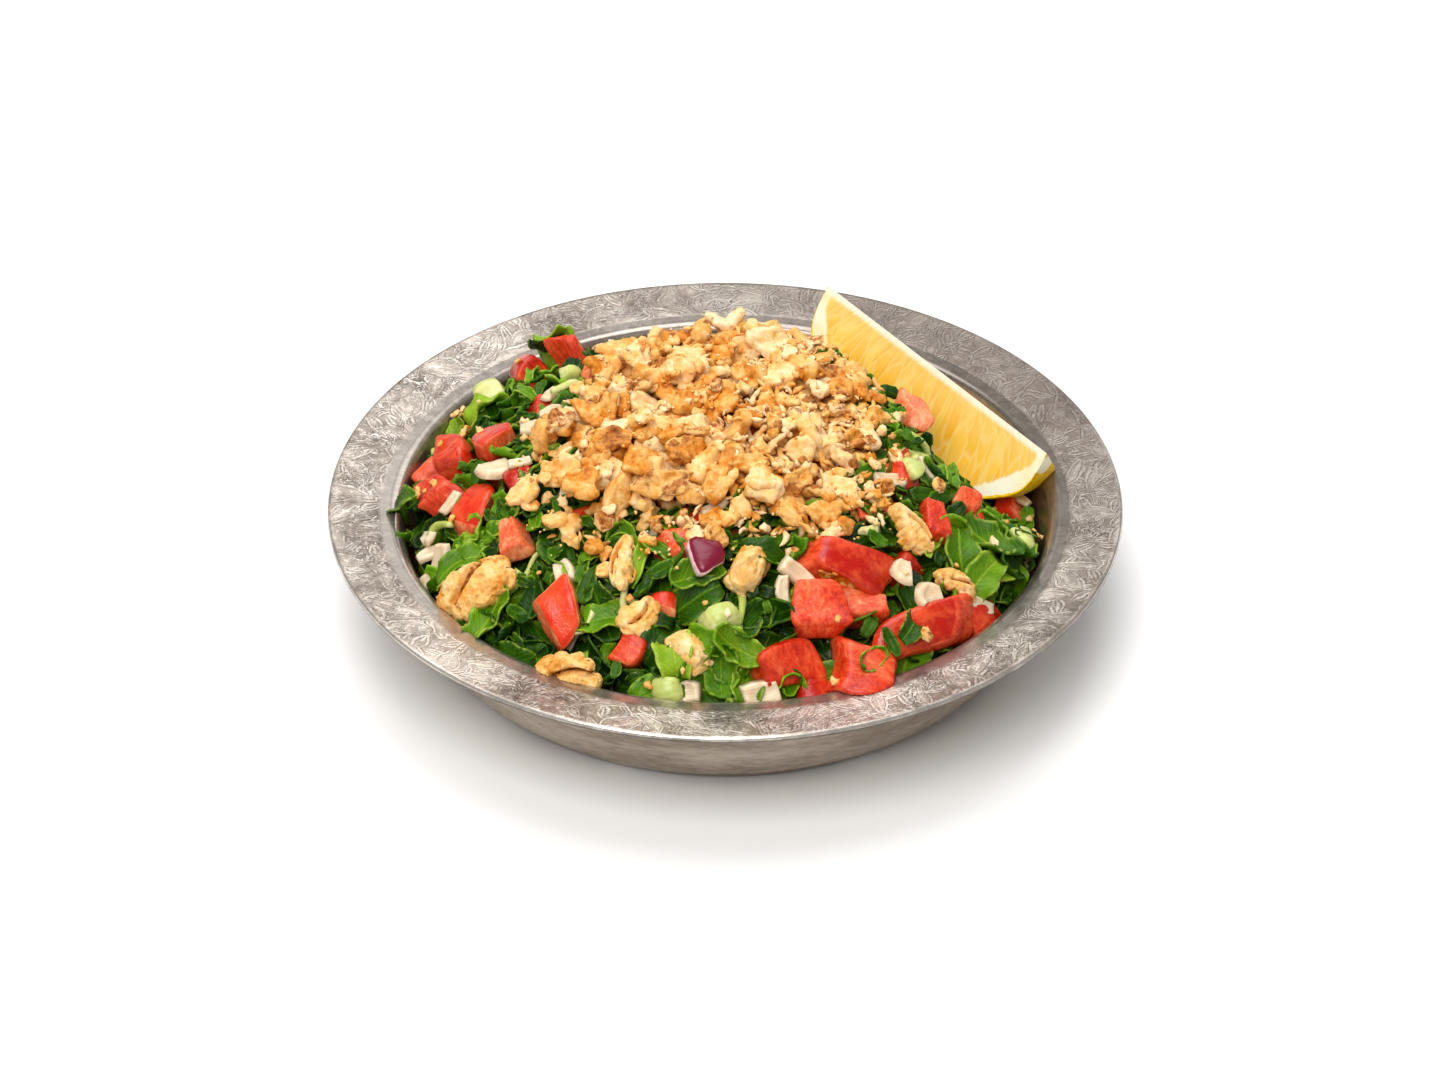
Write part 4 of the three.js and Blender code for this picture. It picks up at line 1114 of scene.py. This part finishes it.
heroes = [  # kind, x, y, size or scale, turn, tilt, lift
    ("onionSlices", -75.6, -24, 8, 20, 30, 1), ("onionSlices", -73, -28, 8, 60, -20, 1),
    ("onionSlices", -40, -50, 7, 110, 10, 2), ("onionSlices", 18, -56, 10, -30, 20, 3),
    ("onionSlices", 43, -50, 9, 80, 30, 5), ("onionSlices", 49, -53, 8, 20, 10, 5),
    ("onionSlices", 14, -60, 7, 100, -20, 3), ("onionSlices", 64, -47, 7, 10, 0, 2),
    ("onionSlices", -58, -10, 9, 40, 35, 3), ("onionSlices", -52, -11, 6, 10, 20, 3),
    ("onionSlices", -76, -20, 7, 130, 20, 2), ("onionSlices", -10, -80, 8, 0, 10, 2),
    ("onionSlices", -79, -32, 11, 60, 10, 1), ("onionSlices", 42, -22, 8, 30, 10, 2),
    ("onionSlices", 8.6, -81, 9, 20, 0, 3), ("purpleOnion", -4.6, -53, 9, 20, 10, 4),
    ("cucumberDice", -0.8, -67, 9, 30, 15, 4), ("cucumberDice", -14, -80, 7, 10, 0, 3),
    ("cucumberDice", 77, -20, 8, 10, 10, 2), ("cucumberDice", 48, -17, 6, 40, 10, 3),
    ("onionSlices", -50, 3, 6, 0, 0, 3), ("lettuceLeaves", -63, 33, 15, 30, 10, 3),
    ("lettuceLeaves", -73, 34, 12, 70, -20, 2), ("ribbonLeaves", -50, 34, 15, 80, 20, 4),
    ("lettuceLeaves", 59, -37, 17, 100, -20, 2), ("darkLeaves", 72, -32, 14, 40, 20, 3),
    ("ribbonLeaves", 52, -37, 14, 50, 10, 3), ("darkLeaves", -11, -76, 14, 30, 20, 2),
    ("parsleyLeaves", -1, -77, 14, 90, -15, 2), ("darkLeaves", -17, -70, 14, 60, 10, 1),
    ("parsleyLeaves", -6, -71, 13, 150, 20, 2), ("darkLeaves", 9, -65, 16, 20, -10, 2),
    ("ribbonLeaves", -21, -52, 14, 70, 0, 2), ("parsleyLeaves", -15, -49, 13, 120, 10, 2),
    ("darkLeaves", 10, -51, 13, 0, 20, 2), ("parsleyLeaves", 19, -62, 12, 60, 20, 1),
    ("lettuceLeaves", 5, -81, 15, 80, 30, 2), ("parsleyLeaves", 16, -80, 13, 110, -30, 1),
    ("ribbonLeaves", -57, -59, 14, 60, 20, 1), ("parsleyLeaves", -64, -52, 13, 20, 10, 0),
    ("darkLeaves", -49, -54, 13, 80, 10, 1), ("ribbonLeaves", -83, -11, 14, 100, 30, 2),
    ("parsleyLeaves", 44, -62, 10, 50, 30, 7), ("darkLeaves", 39, -67, 9, 130, 20, 7),
    ("parsleyLeaves", 34, -72, 9, 20, 10, 8), ("greenStems", 0, -84, 1, 60, 10, 2),
    ("greenStems", -45, -69, 1, 20, 10, 1), ("lettuceLeaves", 66, -29, 19, 150, 20, 4),
    ("lettuceLeaves", 63, -42, 17, 60, -25, 3), ("parsleyLeaves", 74, -24, 16, 110, 25, 4),
    ("lettuceLeaves", -8, -57, 15, 40, 15, 4), ("lettuceLeaves", -12, -73, 14, 100, 20, 4),
    ("lettuceLeaves", 3, -73, 15, 160, -20, 4), ("lettuceLeaves", -58, -52, 17, 50, 15, 4),
    ("lettuceLeaves", -66, -36, 15, 10, 20, 4), ("ribbonLeaves", -52, 22, 15, 120, 10, 4),
    ("cucumberDice", -62, 40, 8, 20, 10, 5), ("lettuceLeaves", -44, 51, 16, 95, 60, 6),
]


def putHero(kind, x, y, size, turn, tilt, lift, index):
    shapes = shapesOf[kind]
    shape = shapes[index % len(shapes)]
    if kind == "onionSlices":
        scale = np.array([size, size, size])
    elif kind in ("purpleOnion", "cucumberDice"):
        scale = np.array([size, size * 0.85, size * 0.7])
    elif kind == "greenStems":
        scale = np.full(3, size)
    else:
        scale = np.full(3, size / np.ptp(shape["points"][:, 0]))
        scale[:2] = np.minimum(scale[:2], 1.5)
    heap.put(kind, shape, layOn(x, y, lift, turn, tilt), scale)


def fill(rng, count, chances):
    kinds, odds = list(chances), np.array(list(chances.values()))
    sizes = {"tomatoDice": (6, 11), "onionSlices": (5, 8), "cucumberDice": (5, 7), "purpleOnion": (5, 7)}
    for _ in range(count):
        x, y, lack = heap.lowest(ring)
        if lack < 0.3:
            continue
        kind = kinds[rng.choice(len(kinds), p=odds / odds.sum())]
        shapes = shapesOf[kind]
        shape = shapes[rng.integers(len(shapes))]
        if kind in sizes:
            scale = rng.uniform(*sizes[kind]) * np.array([1, rng.uniform(0.75, 1), rng.uniform(0.7, 1)])
        else:
            scale = np.full(3, rng.uniform(0.75, 1.3) * min(1, 0.8 + lack * 0.1))
        roll = rng.integers(4) * math.pi / 2 if kind in ("tomatoDice", "purpleOnion", "cucumberDice") else 0
        turn, tilt, roll = rng.uniform(0, anyTurn), rng.normal(0, 0.4), roll + rng.normal(0, 0.4)
        if not heap.drop(kind, shape, x, y, turn, tilt, roll, 1.0 if kind in sizes else 3.0, scale):
            kind, bit = ("parsleyLeaves", "darkLeaves")[rng.integers(2)], bitShapes[rng.integers(len(bitShapes))]
            heap.drop(kind, bit, x, y, turn, tilt, roll, 2.0, np.full(3, rng.uniform(0.9, 1.6)))


def dropAny(kind, shapes, x, y, spread, sink, size):  # one of the shapes, turned at random
    rng = heap.rng
    shape = shapes[rng.integers(len(shapes))]
    turn, tilt, roll = rng.uniform(0, anyTurn), rng.normal(0, spread), rng.normal(0, spread)
    scale = rng.uniform(*size) if isinstance(size, tuple) else size
    heap.drop(kind, shape, x, y, turn, tilt, roll, sink, np.full(3, scale))


def placeSalad():
    rng = heap.rng
    back = salad["behind"]
    behind = (heap.y > back["from"]) & (np.abs(heap.x) < back["halfWidth"])  # lower, as the wall shows there
    heap.goal -= np.where(behind, back["lowered"], 0)
    highest = np.where(behind, back["highest"], salad["highest"])
    heap.ceiling = np.minimum(heap.ceiling, saladTop(heap.x, heap.y) + highest)
    heap.goal -= salad["bed"]
    fill(rng, salad["bedPieces"],
         {"parsleyLeaves": 0.4, "darkLeaves": 0.5, "tomatoDice": 0.06, "onionSlices": 0.04})
    heap.goal += salad["bed"]
    for index, (x, y, size, turn, lift) in enumerate(tomatoes):
        roll = (0, 180, 0, 90, 180, -90)[index % 6]
        size = (size[0], size[2], size[1]) if roll in (90, -90) else size
        matrix = layOn(x, y, lift, turn, rng.uniform(-12, 12), roll)
        size = np.array(size) * (salad["leftSize"] if x < 0 or y > 0 else salad["tomatoSize"])
        heap.put("tomatoDice", tomatoShapes[index % len(tomatoShapes)], matrix, size)
    for index, (x, y, size, turn, lift, tilt) in enumerate(greens):
        shape = (parsleyShapes + lettuceShapes)[(index * 5) % 15]
        reach = np.ptp(shape["points"], axis=0)
        scale = np.array([size[0] / reach[0], size[1] / reach[1], 1.2]).clip(0.5, 1.6)
        heap.put("lettuceLeaves" if index > 12 else "parsleyLeaves", shape, layOn(x, y, lift, turn, tilt), scale)
    for index, hero in enumerate(heroes):
        putHero(*hero, index)
    fill(rng, salad["pieces"],
         {"parsleyLeaves": 0.34, "darkLeaves": 0.22, "tomatoDice": 0.1, "lettuceLeaves": 0.08,
          "ribbonLeaves": 0.12, "onionSlices": 0.09, "cucumberDice": 0.01, "purpleOnion": 0.006,
          "greenStems": 0.08})
    for _ in range(salad["bits"]):
        x, y, _ = heap.lowest(ring, 6)
        kind = ("parsleyLeaves", "darkLeaves", "lettuceLeaves")[rng.choice(3, p=(0.5, 0.4, 0.1))]
        dropAny(kind, bitShapes, x, y, 0.5, 1.5, (0.6, 1.3))
    for _ in range(salad["cover"]):  # small leaves where the core still shows
        rows, columns = ring
        bare = np.nonzero(heap.height[ring] < coreTop(heap.x[ring], heap.y[ring]) + 0.5)[0]
        if len(bare) < 20:
            break
        pick = bare[rng.integers(len(bare))]
        kind = ("parsleyLeaves", "darkLeaves")[rng.integers(2)]
        spot = rows[pick], columns[pick]
        dropAny(kind, bitShapes, heap.x[spot], heap.y[spot], 0.2, 2.0, (0.6, 1.5))
    for shape, points, _ in list(heap.placed["tomatoDice"]):
        corners = points[shape["triangles"]]
        middles = corners.mean(axis=1)
        normals = np.cross(corners[:, 1] - corners[:, 0], corners[:, 2] - corners[:, 0])
        normals /= np.maximum(np.linalg.norm(normals, axis=1), 1e-9)[:, None]
        kindOfSkin = shape["skin"][shape["triangles"]].mean(axis=1)
        chosen = np.nonzero(kindOfSkin < -0.4)[0]
        if len(chosen) < 4:
            continue
        for pick in rng.choice(chosen, min(len(chosen), salad["seedsEach"]), replace=False):
            turned = Vector((0, 0, 1)).rotation_difference(Vector(normals[pick])).to_matrix()
            turned = np.array(turned @ Matrix.Rotation(rng.uniform(0, anyTurn), 3, "Z"))
            seed = seedShapes[rng.integers(3)]
            heap.keep("tomatoSeeds", seed, seed["points"] @ turned.T + middles[pick], rng.random())


placeSalad()
saladCore = makeCore("saladCore", lambda a: salad["coreRadius"], coreTop, lambda x, y: dishInside(x, y) + 0.3, 1.2)
settle(saladCore, corePaint(), "salad")
for kind, material in saladKinds.items():
    piece = joined(kind, heap.placed[kind])
    smooth(piece)
    settle(piece, material, "salad")
print("salad")

# crushed walnuts
nuts = {"seed": 87, "coreDrop": 5.0, "pieces": 2600, "loose": 200, "dust": 500, "strays": 80,
        "border": 2.5, "rise": -1.6, "highest": 69.6, "enough": 0.25, "hollow": 3.5,
        "fineShare": (0.3, 0.8),  # of grains on the left and on the right
        "slid": ((232, 24, 11), (265, 20, 4), (304, 24, 7)), "slidDepth": 3.6}  # direction, width, reach


def slidOut(angle):  # how far crumbs have slid down the front of the heap, in mm
    return sum(reach * facing(angle, degrees, width) for degrees, width, reach in nuts["slid"])


def nutCoreTop(x, y):
    return nutTop(x, y) - nuts["coreDrop"]


chipShapes = [
    chipShape(300 + i, 7, 2.0 + 0.4 * (i % 3), 2 + i % 4, 0.17 + 0.04 * (i % 3), 0.1 + 0.12 * (i % 3), 10)
    for i in range(14)]
plateShapes = [
    chipShape(320 + i, 12, 2.0 + 0.3 * (i % 3), 2 + i % 4, 0.13 + 0.04 * (i % 3), 0.1 + 0.1 * (i % 4), 18)
    for i in range(9)]
nubShapes = [nubShape(340 + i, 3.6, 2.8, 2.2 + 0.3 * (i % 3), 0.1, 0.5) for i in range(8)]
grainShapes = [nubShape(360 + i, 4.8 + 0.6 * (i % 3), 1.7, 1.5, 0.5 - 0.25 * (i % 4), 0.4) for i in range(10)]
bigPlates = [  # x, y, turn, tilt, roll, length, width
    (1, 27, 60, -62, 0, 12, 6), (12, 26, 20, 10, 40, 17, 13), (18, 18, -20, 4, 44, 15, 12),
    (6, -29, 12, 8, 24, 12, 7), (-10, -26, 60, 0, 30, 14, 12), (-36, -36, 100, 10, 22, 16, 13),
    (-20, 2, 10, 12, 34, 17, 11), (-32, -4, -20, -8, 26, 18, 12), (-16, -39, 0, 0, 30, 19, 10),
    (-29, -18, 10, 14, 20, 14, 10), (-51, -27, 30, 0, 14, 13, 9), (-33, 24, 30, 10, 30, 15, 9),
    (-5, -1, 0, 6, 22, 11, 9), (-13, 18, 50, 30, 10, 15, 4), (-18, 22, 80, 0, 62, 13, 9),
    (29, -34, -40, 10, 26, 16, 11), (25, -41, 10, 0, 20, 14, 8), (18, -35, 30, -10, 30, 12, 8),
    (-25, 20, 100, 10, 30, 12, 9), (-26, 28, 0, 4, 10, 20, 7), (2, -8, 140, 14, 22, 13, 9),
    (-42, -24, 20, -10, 26, 14, 10), (-7, -14, 80, 12, 30, 13, 10), (9, -38, 160, 0, 24, 12, 8),
    (-22, -31, 40, 10, 30, 14, 10), (4, 12, 30, -10, 34, 12, 9), (-42, -8, 70, 10, 20, 12, 9),
    (33, -14, 30, 10, 26, 11, 7), (24, 4, 100, 10, 24, 12, 8), (0, 36, 10, 0, -20, 14, 9),
    (-20, 38, 50, 0, -24, 13, 9), (22, 34, 0, 10, -16, 12, 8),
]


def placeNuts():
    rng = heap.rng = np.random.default_rng(nuts["seed"])
    reach, slid = nutReach(bearings), slidOut(bearings)
    cap = np.nonzero(radii < reach + slid + nuts["border"])
    core = np.where(radii < nutReach(bearings) - 2, nutCoreTop(heap.x, heap.y), 0)
    heap.height = np.maximum(heap.height, core)
    apron = nuts["slidDepth"] * np.clip((reach + slid - radii) / 3, 0, 1) * np.clip(slid / 3, 0, 1)
    heap.goal = np.maximum(nutTop(heap.x, heap.y) + nuts["rise"], saladTop(heap.x, heap.y) + apron)
    free = heap.ceiling >= saladTop(heap.x, heap.y) + salad["highest"] - 0.01
    heap.ceiling = np.where(free, nuts["highest"], heap.ceiling)
    for _ in range(nuts["pieces"]):
        x, y, lack = heap.lowest(cap, 26)
        if lack < nuts["enough"]:
            continue
        fine = rng.random() < nuts["fineShare"][int(x > 4 + 6 * math.sin(y * 0.2))]
        if lack > nuts["hollow"]:
            kind, shapes, scale = "walnutCrumbs", nubShapes, rng.uniform(0.9, 1.5)
        elif fine:
            kind, shapes = ("walnutGrains", grainShapes) if rng.random() < 0.7 else ("walnutCrumbs", nubShapes)
            scale = rng.uniform(0.55, 1.1)
        else:
            kind, shapes, scale = "walnutFlakes", chipShapes, 0.6 + 1.1 * rng.random() ** 1.5
        dropAny(kind, shapes, x, y, 0.5, 1.5, scale)
    for index, (x, y, turn, tilt, roll, length, width) in enumerate(bigPlates):
        shape = plateShapes[index % len(plateShapes)]
        reach = np.ptp(shape["points"], axis=0)
        heap.drop("walnutPlates", shape, x, y, math.radians(turn), math.radians(tilt), math.radians(roll), 1.3,
                  np.array([length / reach[0] * 0.8, width / reach[1] * 0.8, 1.0]))
    for _ in range(nuts["loose"]):  # what lies on top and has rolled off the sides
        x, y, _ = heap.lowest(cap, 2)
        kind, shapes = (("walnutGrains", grainShapes), ("walnutFlakes", chipShapes), ("walnutCrumbs", nubShapes))[
            rng.choice(3, p=(0.45, 0.35, 0.2))]
        dropAny(kind, shapes, x, y, 0.3, 1.2, (0.35, 0.8))
    for _ in range(nuts["strays"]):  # crumbs that have fallen on the salad
        x, y, _ = heap.lowest(ring, 1)
        kind, shapes = (("walnutCrumbs", nubShapes), ("walnutFlakes", chipShapes))[rng.integers(2)]
        dropAny(kind, shapes, x, y, 0.3, 1.2, (0.35, 0.75))
    for _ in range(nuts["dust"]):
        x, y, _ = heap.lowest(cap, 2)
        heap.drop("walnutDust", nubShapes[rng.integers(len(nubShapes))], x, y, rng.uniform(0, anyTurn), 0, 0, 1.0,
                  np.full(3, rng.uniform(0.15, 0.3)))


placeNuts()
nutCore = makeCore("walnutCore", lambda a: nutReach(a) - 2, nutCoreTop, lambda x, y: saladTop(x, y) - 4.5, 1.0)
# the shell under the crumbs takes the darkest brown (light -0.6): painted shade where it shows between the crumbs
settle(nutCore, nutPaint("walnutDepthPaintedShade", 0.9, -0.6), "walnut_crumbs")
crushedPaint = nutPaint("crushedWalnut", 0.5, 0.05)
for kind in ("walnutFlakes", "walnutPlates", "walnutGrains", "walnutCrumbs", "walnutDust"):
    piece = joined(kind, heap.placed[kind])
    smooth(piece)
    settle(piece, crushedPaint, "walnut_crumbs")
print("walnuts")
